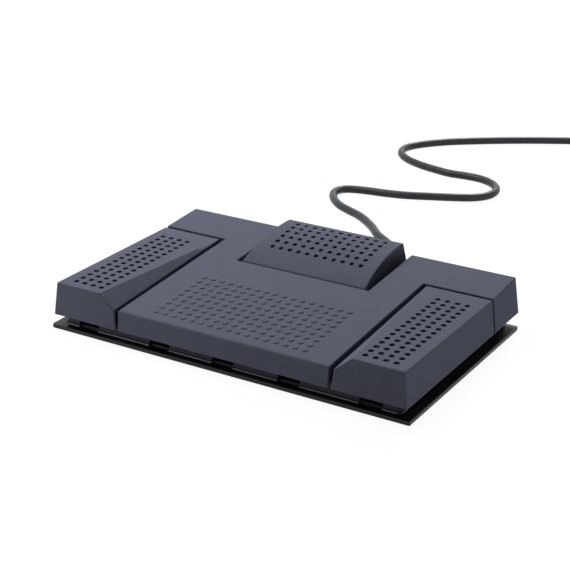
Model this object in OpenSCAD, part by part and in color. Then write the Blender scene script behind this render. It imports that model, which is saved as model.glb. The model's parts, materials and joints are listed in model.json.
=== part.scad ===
// Three-pedal foot switch with a signal cord.
// Millimetres. X runs to the right, Y to the rear, Z up. The origin is on the floor,
// under the middle of the housing. The user sits at the front, on the -Y side.

/* [Base plate] */
// Width of the base plate
base_w = 300; // [296:1:330]
// Depth of the base plate
base_d = 178; // [174:1:182]
// Thickness of the base plate
base_t = 3; // [2.5:0.5:5]
// Corner radius of the base plate
base_corner_r = 1; // [0.5:0.5:6]
// Diameter of a rubber foot
foot_d = 22; // [14:1:26]
// Thickness of a rubber foot
foot_t = 1; // [0.8:0.1:3]

/* [Housing] */
// Width over the skirts at their lower edge
skirt_w = 295; // [290:1:300]
// Depth over the skirts at their lower edge
skirt_d = 184; // [180:1:190]
// Gap between the base plate and the skirts
skirt_gap = 8.5; // [8:0.25:11]
// Height of the deck above the floor at its front edge
deck_front_h = 28; // [27:0.5:30]
// Height of the deck above the floor at its rear edge
deck_rear_h = 41.2; // [40:0.2:44]
// Width of the deck between the side pedals
deck_w = 176.5; // [172:0.5:180]
// Front edge of the rear bar, behind the side pedals
bar_front_y = 49; // [48:0.5:52]
// Draft of the outer sides, in degrees
side_draft = 6.5; // [4:0.5:8]
// Draft of the front faces, in degrees
front_draft = 4; // [2:0.5:6]
// Draft of the rear faces, in degrees
rear_draft = 4.5; // [2:0.5:6]
// Wall thickness of the cover and the pedals
wall = 2.5; // [2:0.1:3]
// Rounding of the long moulded edges
edge_r = 1.2; // [0.6:0.1:1.6]
// Diameter of a grip bump on the deck
bump_d = 5.2; // [3:0.1:6]
// Height of a grip bump
bump_h = 1; // [0.4:0.1:1.5]
// Spacing of the grip bumps and dimples
grip_pitch = 7.8; // [7:0.1:8.2]
// Front row of the grip bumps
bump_front_y = -78.6; // [-82:0.2:-76]

/* [Side pedals] */
// Height of the side pedals above the floor
pedal_h = 38; // [37.5:0.25:40]
// Gap between the deck and a side pedal
pedal_side_gap = 3.5; // [2.5:0.25:4]
// Gap between a side pedal and the rear bar
pedal_rear_gap = 2.5; // [1.5:0.25:3]
// Width of the inner chamfer at the front
chamfer_w = 13.6; // [8:0.2:16]
// Height of the inner chamfer at the front
chamfer_h = 10.8; // [6:0.2:12]
// Distance from the rear edge of a side pedal to its hinge axis
hinge_back = 5.5; // [5:0.25:7]
// Height of the side hinge axes above the floor
hinge_h = 29; // [28.5:0.25:30]
// Travel of a side pedal, in degrees
side_travel = 2.8; // [2:0.1:2.9]
// Diameter of a grip dimple
dimple_d = 3.8; // [2:0.1:4]
// Middle of the dimple field across a side pedal, from the pedal's outer top edge
dimple_mid_x = 22.8; // [20:0.2:25]
// Front row of the dimples on the side pedals
dimple_front_y = -80.6; // [-82:0.2:-79]

/* [Rear pedal] */
// Width of the rear pedal along its top rear edge
rear_top_w = 102.8; // [96:0.4:104]
// Front edge of the rear pedal
rear_front_y = 22; // [21.6:0.2:23]
// Radius of the curved tread
tread_r = 128; // [120:1:140]
// Height of the crown of the tread above the floor
tread_h = 50.1; // [48:0.1:52]
// Crown line of the tread
tread_y = 81; // [79:0.5:83]
// Rear edge of the tread
tread_rear_y = 88.2; // [86:0.2:89]
// Draft of the rear pedal's sides, in degrees
rear_side_draft = 10.5; // [8:0.5:11]
// Height of the rear pedal's lower rim above the floor
rear_rim_h = 27.5; // [27.2:0.1:28]
// Height of the rear hinge axis above the floor
rear_hinge_h = 26; // [25.5:0.1:26.5]
// Rear hinge axis
rear_hinge_y = 29; // [28.8:0.1:30]
// Travel of the rear pedal, in degrees
rear_travel = 5; // [3:0.25:5]
// Width of the cover's notch around the rear pedal
notch_w = 115.5; // [114:0.5:118]
// Front edge of the notch
notch_front_y = 20.6; // [20:0.1:20.8]
// Height of the cover's rear wall below the rear pedal
bridge_h = 21.5; // [18:0.25:22]

/* [Chassis] */
// Distance from the skirts' outer line to the chassis at the sides
chassis_in_x = 7; // [6:0.25:7.5]
// Distance from the skirts' outer line to the chassis at the front
chassis_in_front = 5; // [4.75:0.25:6]
// Distance from the skirts' outer line to the chassis at the rear
chassis_in_rear = 7.5; // [7:0.25:9]
// Height of the chassis wall above the floor
chassis_h = 19; // [18:0.5:20]
// Thickness of the chassis floor and walls
chassis_t = 2; // [1.6:0.1:2.4]
// Width of a latch window in the front wall
latch_w = 18; // [14:0.5:20]
// Offset of the latch windows under the deck
latch_x = 54.5; // [50:0.5:58]
// Offset of the latch windows under the side pedals
pedal_latch_x = 118.5; // [115:0.5:122]
// Thickness of the lip along the foot of the chassis wall
flange_h = 0.8; // [0.6:0.1:1.5]
// Height of the lip above the base plate
flange_lift = 1.2; // [0.6:0.1:2]
// Width of the lip
flange_w = 1.2; // [0.8:0.1:1.4]

/* [Mechanism] */
// Diameter of the hinge pins
pin_d = 4; // [3:0.25:4.5]
// Running clearance of a hinge pin, on the radius
pin_fit = 0.05; // [0.02:0.01:0.1]
// Radius of the hinge posts and lugs around the pins
eye_r = 4.2; // [3.6:0.1:4.4]
// Clearance between pieces that come close together
clear = 0.3; // [0.2:0.05:0.4]
// Height of a return spring at rest
spring_h = 26; // [24:0.5:26]
// Mean diameter of a return spring
spring_d = 10.6; // [10:0.2:12]
// Wire diameter of a return spring
spring_wire = 1.4; // [1:0.1:1.6]
// Turns of a return spring
spring_turns = 6; // [4:1:8]
// Place of the side springs from front to rear
spring_y = -62; // [-66:1:-56]
// Place of the rear spring from front to rear
rear_spring_y = 70; // [68:0.5:70]
// Height of the rear pedal's spring seat above the floor
rear_seat_h = 44; // [43:0.25:44.5]
// Lever arm from the side hinge axis to the switch plunger
side_arm = 28; // [26:0.5:30]
// Lever arm from the rear hinge axis to the switch plunger
rear_arm = 17; // [17:0.5:19]
// Place of the rear switch across the part
rear_switch_x = -22; // [-24:0.5:-20]
// Length of a switch body
switch_l = 27.8; // [27:0.2:28]
// Thickness of a switch body
switch_t = 10.3; // [9.5:0.1:10.5]
// Height of a switch body
switch_h = 15.9; // [15:0.1:16]
// Height of the switch bodies above the chassis floor
switch_lift = 7; // [6.5:0.1:7.2]
// Diameter of a switch plunger
plunger_d = 3.6; // [3:0.1:4]
// Height of a plunger above its switch
plunger_up = 1.8; // [1.7:0.1:2]
// Thickness of a rubber bumper
bumper_h = 3; // [2:0.25:4]
// Diameter of a rubber bumper
bumper_d = 10; // [8:0.5:11]

/* [Electronics] */
// Width of the circuit board
board_w = 64; // [60:1:70]
// Depth of the circuit board
board_d = 44; // [42:1:48]
// Thickness of the circuit board
board_t = 1.6; // [1:0.1:2]
// Rear edge of the circuit board
board_rear_y = -18; // [-20:0.5:-16]
// Height of the board posts above the chassis floor
board_lift = 3; // [2:0.25:4]
// Diameter of a switch wire
wire_d = 1.4; // [1:0.1:1.6]

/* [Fasteners] */
// Shank diameter of the housing screws
screw_d = 3; // [2.5:0.1:3.5]
// Head diameter of the housing screws
screw_head_d = 6; // [5:0.2:7]
// Shank diameter of the small screws
small_screw_d = 2.4; // [2:0.1:2.6]
// Head diameter of the small screws
small_head_d = 4.6; // [4:0.1:5]

/* [Cord] */
// Diameter of the cord
cord_d = 7.4; // [6:0.1:7.4]
// Place of the cord exit across the part
exit_x = 18; // [17:0.5:19]
// Height of the cord exit above the floor
exit_h = 12.6; // [12.5:0.1:13]
// Length of the strain relief outside the chassis
boot_l = 27; // [20:0.5:27]
// Number of turns in the stored coil
coil_turns = 5.25; // [5.25]
// Mean radius of the coil's turns
coil_r = 33; // [30:0.5:36]
// Distance between the middles of neighbouring turns
coil_pitch = 8; // [8:0.1:8.4]
// Thickness of the coil tie
tie_t = 1; // [0.6:0.1:1.5]
// Width of the coil tie
tie_w = 9; // [6:0.5:12]
// Length of the plug's grip
grip_l = 26; // [22:0.5:30]
// Width of the plug's grip
grip_w = 16; // [14:0.2:17]
// Thickness of the plug's grip
grip_t = 10; // [9.5:0.1:11]

/* [Hidden] */
$fn = 48;

// Levels above the floor
plate_z = foot_t + base_t;
skirt_z = plate_z + skirt_gap;
floor_z = plate_z + chassis_t;
high_z = 2 * tread_h;

// Faces of the housing, which lean in as they rise
front_y = -skirt_d / 2;
rear_y = skirt_d / 2;
function front_face(z) = front_y + (z - skirt_z) * tan(front_draft);
function rear_face(z) = rear_y - (z - skirt_z) * tan(rear_draft);
function side_face(z) = skirt_w / 2 - (z - skirt_z) * tan(side_draft);

// Base plate
base_rear_y = front_y + base_d;
foot_in_x = 18;
foot_in_y = 20;

// The sloping deck
deck_front_y = front_face(deck_front_h);
deck_rear_y = rear_face(deck_rear_h);
deck_rise = (deck_rear_h - deck_front_h) / (deck_rear_y - deck_front_y);
deck_slope = atan(deck_rise);
function deck_z(y) = deck_front_h + (y - deck_front_y) * deck_rise;
bump_cols = 17;
bump_rows = 9;

// Side pedals; the right one is modelled and the left one is its mirror image
pedal_in = deck_w / 2 + pedal_side_gap;
pedal_out = side_face(pedal_h);
pedal_mid_x = (pedal_in + pedal_out) / 2;
pedal_rear_y = bar_front_y - pedal_rear_gap;
hinge_y = pedal_rear_y - hinge_back;
chamfer_run = 3;
dimple_cols = 4;
dimple_rows = 15;
lug_t = 4;
lug_gap = 1;
post_room = 2.4;
post_out = pedal_mid_x - pedal_in - wall - post_room;
post_in = post_out - lug_t;
lug_out = post_in - lug_gap;

// Rear pedal
tread_axis_h = tread_h - tread_r;
function rear_side(z) = rear_top_w / 2 + (tread_h - z) * tan(rear_side_draft);
rear_dimple_cols = 11;
rear_dimple_rows = 6;
rear_post_room = 2.9;
rear_post_out = rear_top_w / 2 - wall - rear_post_room;
rear_post_in = rear_post_out - lug_t;
rear_lug_out = rear_post_in - lug_gap;

// Chassis
chassis_x = skirt_w / 2 - chassis_in_x;
chassis_front_y = front_y + chassis_in_front;
chassis_rear_y = rear_y - chassis_in_rear;
chassis_r = 4;
latch_top = skirt_z + 2.5;
tongue_t = 2;
tongue_reach = 1.5;
tongue_in = latch_w / 2 - 2;
sink = 0.5;

// Switches
switch_z = floor_z + switch_lift;
switch_top = switch_z + switch_h;
plunger_top = switch_top + plunger_up;
plunger_deep = 2.4;
plunger_sink = plunger_deep + 1.8;
plunger_off = 5.6;
switch_hole_d = small_screw_d + 0.5;
switch_hole_y = 11.1;
switch_hole_z = 5.15;
bracket_t = 4;
blade_t = 0.8;
blade_w = 4;
blade_l = 4.6;
blade_step = 9.4;

// Springs and bumpers
side_seat_z = pedal_h - wall - clear - spring_h;
rear_seat_z = rear_seat_h - clear - spring_h;
spring_post_r = (spring_d - spring_wire) / 2 - 0.8;
spring_boss_r = (spring_d + spring_wire) / 2 + 0.5;
spring_post_h = 5;
bumper_y = spring_y + 22;
rear_bumper_x = rear_top_w / 2 - 11.4;
rear_bumper_y = rear_spring_y + 5;
rear_tower_h = floor_z + 14;
stop_rib_t = 3;
stop_rib_w = 20;
stop_post_r = bumper_d / 2 - 1;
side_drop = (hinge_y - bumper_y + stop_rib_t / 2) * sin(side_travel);
side_stop_z = floor_z + bumper_h + clear + side_drop;
rear_drop = (rear_bumper_y + stop_post_r - rear_hinge_y) * sin(rear_travel);
rear_stop_z = rear_tower_h + bumper_h + clear + rear_drop;

// Board
board_front_y = board_rear_y - board_d;
board_mid_y = board_rear_y - board_d / 2;
board_z = floor_z + board_lift;
board_top = board_z + board_t;
board_hole_in = 5;
board_hole_x = board_w / 2 - board_hole_in;
board_hole_y = [board_rear_y - board_hole_in, board_front_y + board_hole_in];
header_h = 7;
header_t = 6;
header_w = 8;
cord_header_w = 13;
cord_header_x = exit_x - 3;
rear_header_x = -8;
wire_h = board_top + header_h / 2;
wire_low = floor_z + wire_d / 2 + 0.5;
wire_step = 2.6;

// Fasteners, which stand inside both the base plate and the chassis
screw_fit = 0.05;
seat_rear_y = min(base_rear_y, chassis_rear_y);
base_screw_x = [100, 72];
base_screw_y = [chassis_front_y + 11, seat_rear_y - 8.5];
base_screw_at = [for (k = [0, 1], s = [-1, 1]) [s * base_screw_x[k], base_screw_y[k]]];
cover_screw_x = [72, 104];
cover_screw_y = [chassis_front_y + 15, seat_rear_y - 16.5];
cover_screw_at = [for (k = [0, 1], s = [-1, 1]) [s * cover_screw_x[k], cover_screw_y[k]]];
base_boss_h = 6;
cover_screw_l = 14;
boss_r = 4;
small_head_t = 1.6;

// Cord clamp and strain relief
cord_fit = 0.05;
clamp_y = [chassis_rear_y - 14, chassis_rear_y - 6];
clamp_mid_y = (clamp_y[0] + clamp_y[1]) / 2;
clamp_screw_x = cord_d / 2 + 4.4;
clamp_half = clamp_screw_x + 3.1;
clamp_saddle = exit_h - cord_d / 2;
clamp_top = exit_h + cord_d / 2 + 2.5;
boot_r = cord_d / 2 + 1.5;
boot_tip_r = cord_d / 2 + 0.8;
boot_flange_r = boot_r + 1;
boot_flange_t = 2;
boot_neck_r = boot_r - 0.2;
boot_ribs = 5;
boot_end_y = chassis_rear_y + boot_l;
arch_r = boot_r + 0.8;
cord_split_y = chassis_rear_y + 1;

// Cord from the strain relief to the coil: its place on the floor, and the height of its underside
cord_route = [
    [18, 124, 8.4], [17.5, 136, 5.6], [15, 149, 2.2], [9, 163, 0.3], [-1, 176, 0], [-14, 188.5, 0],
    [-30, 201, 0], [-43, 215, 0], [-56, 227, 0], [-69, 236.5, 0], [-83, 243.5, 0], [-97, 251.5, 0],
    [-110.5, 264.5, 0], [-118.5, 279, 0], [-117, 291, 0], [-107.5, 297, 0], [-93, 300.5, 0], [-76, 303, 0],
    [-58, 307.5, 0], [-39, 315.5, 0], [-20, 324, 0], [-3, 333, 0], [7, 344, 0], [10, 357.5, 0],
    [6, 370.5, 0], [-4, 381.5, 0], [-18.5, 388, 0], [-34.5, 389, 0], [-51, 388, 0], [-69, 391.5, 0],
    [-87.5, 397, 0], [-107, 407, 0], [-121, 421.5, 0], [-125, 439, 0], [-117, 458, 0], [-98, 480, 0],
    [-70, 502, 0], [-36, 525, 0], [0, 546, 0], [30, 560, 0.4]
];

// Coil, wound clockwise in two layers
coil_start = [66, 574];
coil_dir = 20;
coil_half = coil_turns / 2;
coil_in_r = coil_r - coil_pitch * coil_half / 2;
coil_out_r = coil_r + coil_pitch * coil_half / 2;
coil_low_z = tie_t + clear + cord_d / 2;
coil_high_z = coil_low_z + coil_pitch;
coil_mid = coil_start + coil_out_r * [sin(coil_dir), -cos(coil_dir)];
coil_steps = 24;
coil_end_dir = coil_dir - 90;
coil_end = coil_mid + coil_out_r * [cos(coil_dir), sin(coil_dir)];
tie_turn = 36;
tie_r = 2.6;

// Plug
tail_l = 58;
plug_z = grip_t / 2;
plug_at = coil_end + (cord_d + tail_l) * [cos(coil_end_dir), sin(coil_end_dir)];
neck_l = 9;
shell_l = 18.8;
shell_w = 12;
shell_t = 4.5;
shell_sheet = 0.4;
insert_t = 1.9;
contact_n = 4;
contact_pitch = 2.2;

// Outline helpers
function unit(v) = v / norm(v);
function flat_dir(a) = [cos(a), sin(a), 0];
function corner_arc(a, v, b, r, n) =
    r <= 0 ? [v] :
    let (
        u = unit(a - v), w = unit(b - v), half = acos(u * w) / 2,
        c = v + unit(u + w) * r / sin(half),
        s = v + u * r / tan(half) - c, e = v + w * r / tan(half) - c,
        a0 = atan2(s[1], s[0]), turn = atan2(s[0] * e[1] - s[1] * e[0], s * e)
    )
    [for (k = [0 : n]) c + r * [cos(a0 + turn * k / n), sin(a0 + turn * k / n)]];
function rounded(pts, radii, n = 4) =
    let (m = len(pts))
    [for (i = [0 : m - 1]) each corner_arc(pts[(i + m - 1) % m], pts[i], pts[(i + 1) % m], radii[i], n)];
function box_outline(x0, y0, x1, y1, r) =
    rounded([[x0, y0], [x1, y0], [x1, y1], [x0, y1]], [r, r, r, r]);

// Extrudes a side-view outline, given in Y and Z, from x0 to x1
module along_x(x0, x1) {
    translate([x0, 0, 0]) rotate([90, 0, 90]) linear_extrude(x1 - x0) children();
}
// Extrudes a front-view outline, given in X and Z, from y0 to y1
module along_y(y0, y1) {
    translate([0, y1, 0]) rotate([90, 0, 0]) linear_extrude(y1 - y0) children();
}
module block(low, high) {
    translate(low) cube(high - low);
}
module post(x, y, z0, z1, r) {
    translate([x, y, z0]) cylinder(r = r, h = z1 - z0);
}
// A rod along X at y and z
module rod_x(x0, x1, y, z, r) {
    translate([x0, y, z]) rotate([0, 90, 0]) cylinder(r = r, h = x1 - x0);
}
// A rod along Y at x and z
module rod_y(y0, y1, x, z, r) {
    translate([x, y1, z]) rotate([90, 0, 0]) cylinder(r = r, h = y1 - y0);
}
module both_sides() {
    children();
    mirror([1, 0, 0]) children();
}
module left_side() {
    mirror([1, 0, 0]) children();
}

// Tube helpers: a smooth curve through points, and a closed tube swept along it
function between(a, b, c, d, t) =
    0.5 * (2 * b + (c - a) * t + (2 * a - 5 * b + 4 * c - d) * t * t + (3 * b - a - 3 * c + d) * t * t * t);
function smooth(pts, n) =
    let (m = len(pts), ends = concat([2 * pts[0] - pts[1]], pts, [2 * pts[m - 1] - pts[m - 2]]))
    concat(
        [
            for (i = [1 : m - 1], k = [0 : n - 1])
                between(ends[i - 1], ends[i], ends[i + 1], ends[i + 2], k / n)
        ],
        [pts[m - 1]]
    );
function heading(path, i, first, last) =
    let (m = len(path))
    i == 0 && !is_undef(first) ? first :
    i == m - 1 && !is_undef(last) ? last :
    unit(path[min(i + 1, m - 1)] - path[max(i - 1, 0)]);
function ring(p, dir, r, sides) =
    let (side = unit(cross(dir, [0, 0, 1])), up = cross(side, dir), step = 360 / sides)
    [for (k = [0 : sides - 1]) p + r * (cos(step * (k + 0.5)) * side + sin(step * (k + 0.5)) * up)];
// The end faces stand square to first and last, where these are given
module tube(path, r, sides, first = undef, last = undef) {
    m = len(path);
    end = (m - 1) * sides;
    points = [for (i = [0 : m - 1]) each ring(path[i], heading(path, i, first, last), r, sides)];
    walls = [
        for (i = [0 : m - 2], k = [0 : sides - 1])
            let (a = i * sides + k, b = i * sides + (k + 1) % sides)
            each [[a, b + sides, a + sides], [a, b, b + sides]]
    ];
    caps = [for (k = [1 : sides - 2]) each [[0, k + 1, k], [end, end + k, end + k + 1]]];
    polyhedron(points, concat(walls, caps), convexity = 10);
}

// Base plate and feet
module countersink(at) {
    hole_d = screw_d + 2 * screw_fit;
    mouth_d = screw_head_d + 2 * screw_fit;
    translate([at[0], at[1], foot_t]) {
        cylinder(d = hole_d, h = base_t + 1);
        translate([0, 0, -1]) cylinder(d = mouth_d, h = 1);
        cylinder(d1 = mouth_d, d2 = hole_d, h = (screw_head_d - screw_d) / 2);
    }
}
module base_plate() {
    color("#1b1b1d") difference() {
        translate([0, 0, foot_t]) linear_extrude(base_t)
            polygon(box_outline(-base_w / 2, front_y, base_w / 2, base_rear_y, base_corner_r));
        for (at = concat(base_screw_at, cover_screw_at)) countersink(at);
    }
}
module rubber_feet() {
    edge = 0.4;
    rim = foot_d / 2;
    foot_x = base_w / 2 - foot_in_x;
    color("#222222") for (x = [-foot_x, foot_x], y = [front_y + foot_in_y, base_rear_y - foot_in_y])
        translate([x, y, 0]) rotate_extrude()
            polygon([[0, 0], [rim - edge, 0], [rim, edge], [rim, foot_t], [0, foot_t]]);
}

// Chassis
module chassis_outline(grow) {
    polygon(box_outline(
        -chassis_x - grow, chassis_front_y - grow, chassis_x + grow, chassis_rear_y + grow, chassis_r + grow
    ));
}
// Upright plate with a round eye at the top, in side view
module eye_plate(y, z, base) {
    translate([y, z]) circle(r = eye_r);
    translate([y - eye_r, base]) square([2 * eye_r, z - base]);
}
module spring_seat(x, y, z) {
    post(x, y, floor_z - sink, z, spring_boss_r);
    post(x, y, floor_z - sink, z + spring_post_h, spring_post_r);
}
module switch_bracket() {
    half = switch_l / 2;
    block(
        [switch_t / 2, plunger_off - half, floor_z - sink - switch_top],
        [switch_t / 2 + bracket_t, plunger_off + half, -1]
    );
}
module switch_pilots() {
    for (s = [-1, 1])
        rod_x(-switch_t, switch_t / 2 + bracket_t + 1, plunger_off + s * switch_hole_y,
            s * switch_hole_z - switch_h / 2, small_screw_d / 2 + screw_fit);
}
module at_right_switch() {
    translate([pedal_mid_x, hinge_y - side_arm, switch_top]) children();
}
module at_rear_switch() {
    translate([rear_switch_x, rear_hinge_y + rear_arm, switch_top]) mirror([1, 0, 0]) children();
}
module chassis_posts() {
    both_sides() {
        for (x = [pedal_mid_x - post_out, pedal_mid_x + post_in])
            along_x(x, x + lug_t) eye_plate(hinge_y, hinge_h, floor_z - sink);
        along_x(rear_post_in, rear_post_out) eye_plate(rear_hinge_y, rear_hinge_h, floor_z - sink);
        spring_seat(pedal_mid_x, spring_y, side_seat_z);
        post(rear_bumper_x, rear_bumper_y, floor_z - sink, rear_tower_h, bumper_d / 2 + 0.5);
        at_right_switch() switch_bracket();
        for (y = board_hole_y) post(board_hole_x, y, floor_z - sink, board_z, small_head_d / 2 + 0.8);
    }
    spring_seat(0, rear_spring_y, rear_seat_z);
    at_rear_switch() switch_bracket();
    for (at = base_screw_at) post(at[0], at[1], floor_z - sink, floor_z + base_boss_h, boss_r);
    block([exit_x - clamp_half, clamp_y[0], floor_z - sink], [exit_x + clamp_half, clamp_y[1], clamp_saddle]);
}
module chassis_holes() {
    small_r = small_screw_d / 2 + screw_fit;
    shank_r = screw_d / 2 + screw_fit;
    blind_z = plate_z + 0.5;
    for (x = [-pedal_latch_x, -latch_x, 0, latch_x, pedal_latch_x])
        block([x - latch_w / 2, chassis_front_y - flange_w - 1, plate_z - 1],
            [x + latch_w / 2, chassis_front_y + chassis_t, latch_top]);
    rod_y(chassis_rear_y - chassis_t - 1, chassis_rear_y + flange_w + 1, exit_x, exit_h,
        boot_neck_r + cord_fit);
    both_sides() {
        rod_x(pedal_mid_x - post_out - 1, pedal_mid_x + post_out + 1, hinge_y, hinge_h, pin_d / 2 + pin_fit);
        at_right_switch() switch_pilots();
        for (y = board_hole_y) post(board_hole_x, y, blind_z, board_z + 1, small_r);
    }
    rod_x(-rear_post_out - 1, rear_post_out + 1, rear_hinge_y, rear_hinge_h, pin_d / 2 + pin_fit);
    at_rear_switch() switch_pilots();
    for (at = base_screw_at) post(at[0], at[1], plate_z - 1, floor_z + base_boss_h + 1, shank_r);
    for (at = cover_screw_at) post(at[0], at[1], plate_z - 1, floor_z + 1, shank_r);
    for (s = [-1, 1]) post(exit_x + s * clamp_screw_x, clamp_mid_y, blind_z, clamp_saddle + 1, small_r);
}
module chassis() {
    color("#2c2c31") difference() {
        union() {
            translate([0, 0, plate_z]) linear_extrude(chassis_t) chassis_outline(0);
            translate([0, 0, plate_z]) linear_extrude(chassis_h - plate_z) difference() {
                chassis_outline(0);
                chassis_outline(-chassis_t);
            }
            translate([0, 0, plate_z + flange_lift]) linear_extrude(flange_h) difference() {
                chassis_outline(flange_w);
                chassis_outline(-chassis_t / 2);
            }
            chassis_posts();
        }
        chassis_holes();
    }
}

// Cover: rear bar and deck in one moulding
module cover_block(t) {
    low = t > 0 ? skirt_z - 1 : skirt_z;
    side = side_face(low) - t;
    side_up = side_face(high_z) - t;
    profile = [
        [front_face(low) + t, low], [deck_front_y + t, deck_front_h - t],
        [deck_rear_y - t, deck_rear_h - t], [rear_face(low) - t, low]
    ];
    radii = t > 0 ? [0, 0, 0, 0] : [0, 2 * edge_r, edge_r, 0];
    intersection() {
        along_x(-skirt_w, skirt_w) polygon(rounded(profile, radii));
        along_y(-skirt_d, skirt_d)
            polygon([[-side, low], [side, low], [side_up, high_z], [-side_up, high_z]]);
    }
}
module pedal_bays(t) {
    both_sides() block([deck_w / 2 - t, -skirt_d, -1], [skirt_w, bar_front_y + t, high_z]);
}
module rear_notch(t) {
    block([-notch_w / 2 - t, notch_front_y - t, bridge_h], [notch_w / 2 + t, skirt_d, high_z]);
}
module deck_bump() {
    r = bump_d / 2;
    rotate_extrude() polygon([
        [0, -sink], [r, -sink], [r, 0], [r - 0.3, bump_h * 0.75], [r - 0.7, bump_h], [0, bump_h]
    ]);
}
module deck_bumps() {
    for (i = [0 : bump_cols - 1], j = [0 : bump_rows - 1]) {
        x = (i - (bump_cols - 1) / 2) * grip_pitch;
        y = bump_front_y + j * grip_pitch;
        translate([x, y, deck_z(y)]) rotate([deck_slope, 0, 0]) deck_bump();
    }
}
// Tongue that reaches through a latch window of the chassis
module latch_tongue(x) {
    block([x - tongue_in, front_face(latch_top) + wall - sink, latch_top - clear - tongue_t],
        [x + tongue_in, chassis_front_y + chassis_t + tongue_reach, latch_top - clear]);
}
// Room over the chassis rim, which the walls of the bays stay above
module chassis_room() {
    linear_extrude(chassis_h + clear) chassis_outline(2 * clear);
}
module top_cover() {
    color("#5f6475") difference() {
        union() {
            difference() {
                cover_block(0);
                pedal_bays(0);
                rear_notch(0);
                difference() {
                    cover_block(wall);
                    pedal_bays(wall);
                    rear_notch(wall);
                }
                chassis_room();
            }
            deck_bumps();
            for (x = [-latch_x, 0, latch_x]) latch_tongue(x);
            for (at = cover_screw_at) post(at[0], at[1], floor_z, deck_z(at[1]) - wall / 2, boss_r);
        }
        for (at = cover_screw_at)
            post(at[0], at[1], floor_z - 1, foot_t + cover_screw_l + 1, screw_d / 2 + screw_fit);
        rod_y(rear_y - 2 * wall - 2, rear_y + 1, exit_x, exit_h, arch_r);
    }
}

// Side pedals
module pedal_block(t) {
    low = t > 0 ? skirt_z - 1 : skirt_z;
    top = pedal_h - t;
    back = t > 0 ? pedal_rear_y + 5 : pedal_rear_y;
    inner = pedal_in + t;
    round_r = t > 0 ? 0 : edge_r;
    side_view = [[front_face(low) + t, low], [front_face(top) + t, top], [back, top], [back, low]];
    front_view = [[inner, low], [inner, top], [side_face(top) - t, top], [side_face(low) - t, low]];
    intersection() {
        along_x(0, skirt_w) polygon(rounded(side_view, [0, round_r, 0, 0]));
        along_y(-skirt_d, skirt_d) polygon(rounded(front_view, [0, 0, round_r, 0]));
    }
}
// Everything beyond the chamfer plane, which runs out at the rear inner corner
module pedal_chamfer(t) {
    apex = [pedal_in, pedal_rear_y + chamfer_run, pedal_h];
    run = unit([chamfer_w, front_y - apex[1], 0]);
    fall = unit([0, front_y - apex[1], -chamfer_h]);
    out = unit(cross(fall, run));
    side = cross(out, run);
    at = apex - t * out;
    size = 2 * skirt_d;
    multmatrix([
        [run[0], side[0], out[0], at[0]],
        [run[1], side[1], out[1], at[1]],
        [run[2], side[2], out[2], at[2]],
        [0, 0, 0, 1]
    ]) translate([-size, -size, 0]) cube([2 * size, 2 * size, size]);
}
// The inner wall of a side pedal ends above the chassis rim, over the whole travel
module pedal_wall_room() {
    low = chassis_h + 2 * clear;
    front = front_y + wall;
    back = pedal_rear_y + 1;
    along_x(pedal_in - 1, pedal_in + wall + 0.01) polygon([
        [front, 0], [front, low + (hinge_y - front) * sin(side_travel)], [hinge_y, low],
        [back, low], [back, 0]
    ]);
}
module pedal_ribs() {
    rib_half = 0.8;
    rib_z = pedal_h - wall - 5;
    press_half = 4;
    press_y = hinge_y - side_arm;
    stop_half = stop_rib_w / 2;
    for (y = [spring_y - 13, bumper_y + 20])
        block([pedal_in + 1, y - rib_half, rib_z], [skirt_w / 2, y + rib_half, pedal_h]);
    block([pedal_mid_x - stop_half, bumper_y - stop_rib_t / 2, side_stop_z],
        [pedal_mid_x + stop_half, bumper_y + stop_rib_t / 2, pedal_h]);
    block([pedal_mid_x - press_half, press_y - 3, plunger_top + clear],
        [pedal_mid_x + press_half, press_y + 3, pedal_h]);
    post(pedal_mid_x, spring_y, rib_z, pedal_h, spring_post_r);
    for (x = [pedal_mid_x - lug_out, pedal_mid_x + lug_out - lug_t])
        along_x(x, x + lug_t) {
            translate([hinge_y, hinge_h]) circle(r = eye_r);
            translate([hinge_y - eye_r, hinge_h]) square([2 * eye_r, pedal_h - hinge_h]);
        }
}
module pedal_dimples() {
    for (i = [0 : dimple_cols - 1], j = [0 : dimple_rows - 1]) {
        x = pedal_out - dimple_mid_x + (i - (dimple_cols - 1) / 2) * grip_pitch;
        translate([x, dimple_front_y + j * grip_pitch, pedal_h]) sphere(d = dimple_d);
    }
}
module right_pedal_shape() {
    difference() {
        union() {
            difference() {
                pedal_block(0);
                difference() {
                    pedal_block(wall);
                    pedal_chamfer(wall);
                }
            }
            intersection() {
                pedal_ribs();
                difference() {
                    pedal_block(wall / 2);
                    pedal_chamfer(wall / 2);
                }
            }
            latch_tongue(pedal_latch_x);
        }
        pedal_chamfer(0);
        pedal_wall_room();
        pedal_dimples();
        rod_x(pedal_mid_x - lug_out - 1, pedal_mid_x + lug_out + 1, hinge_y, hinge_h, pin_d / 2 + pin_fit);
    }
}
module left_pedal() {
    color("#5f6475") left_side() right_pedal_shape();
}
module right_pedal() {
    color("#5f6475") right_pedal_shape();
}

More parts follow.
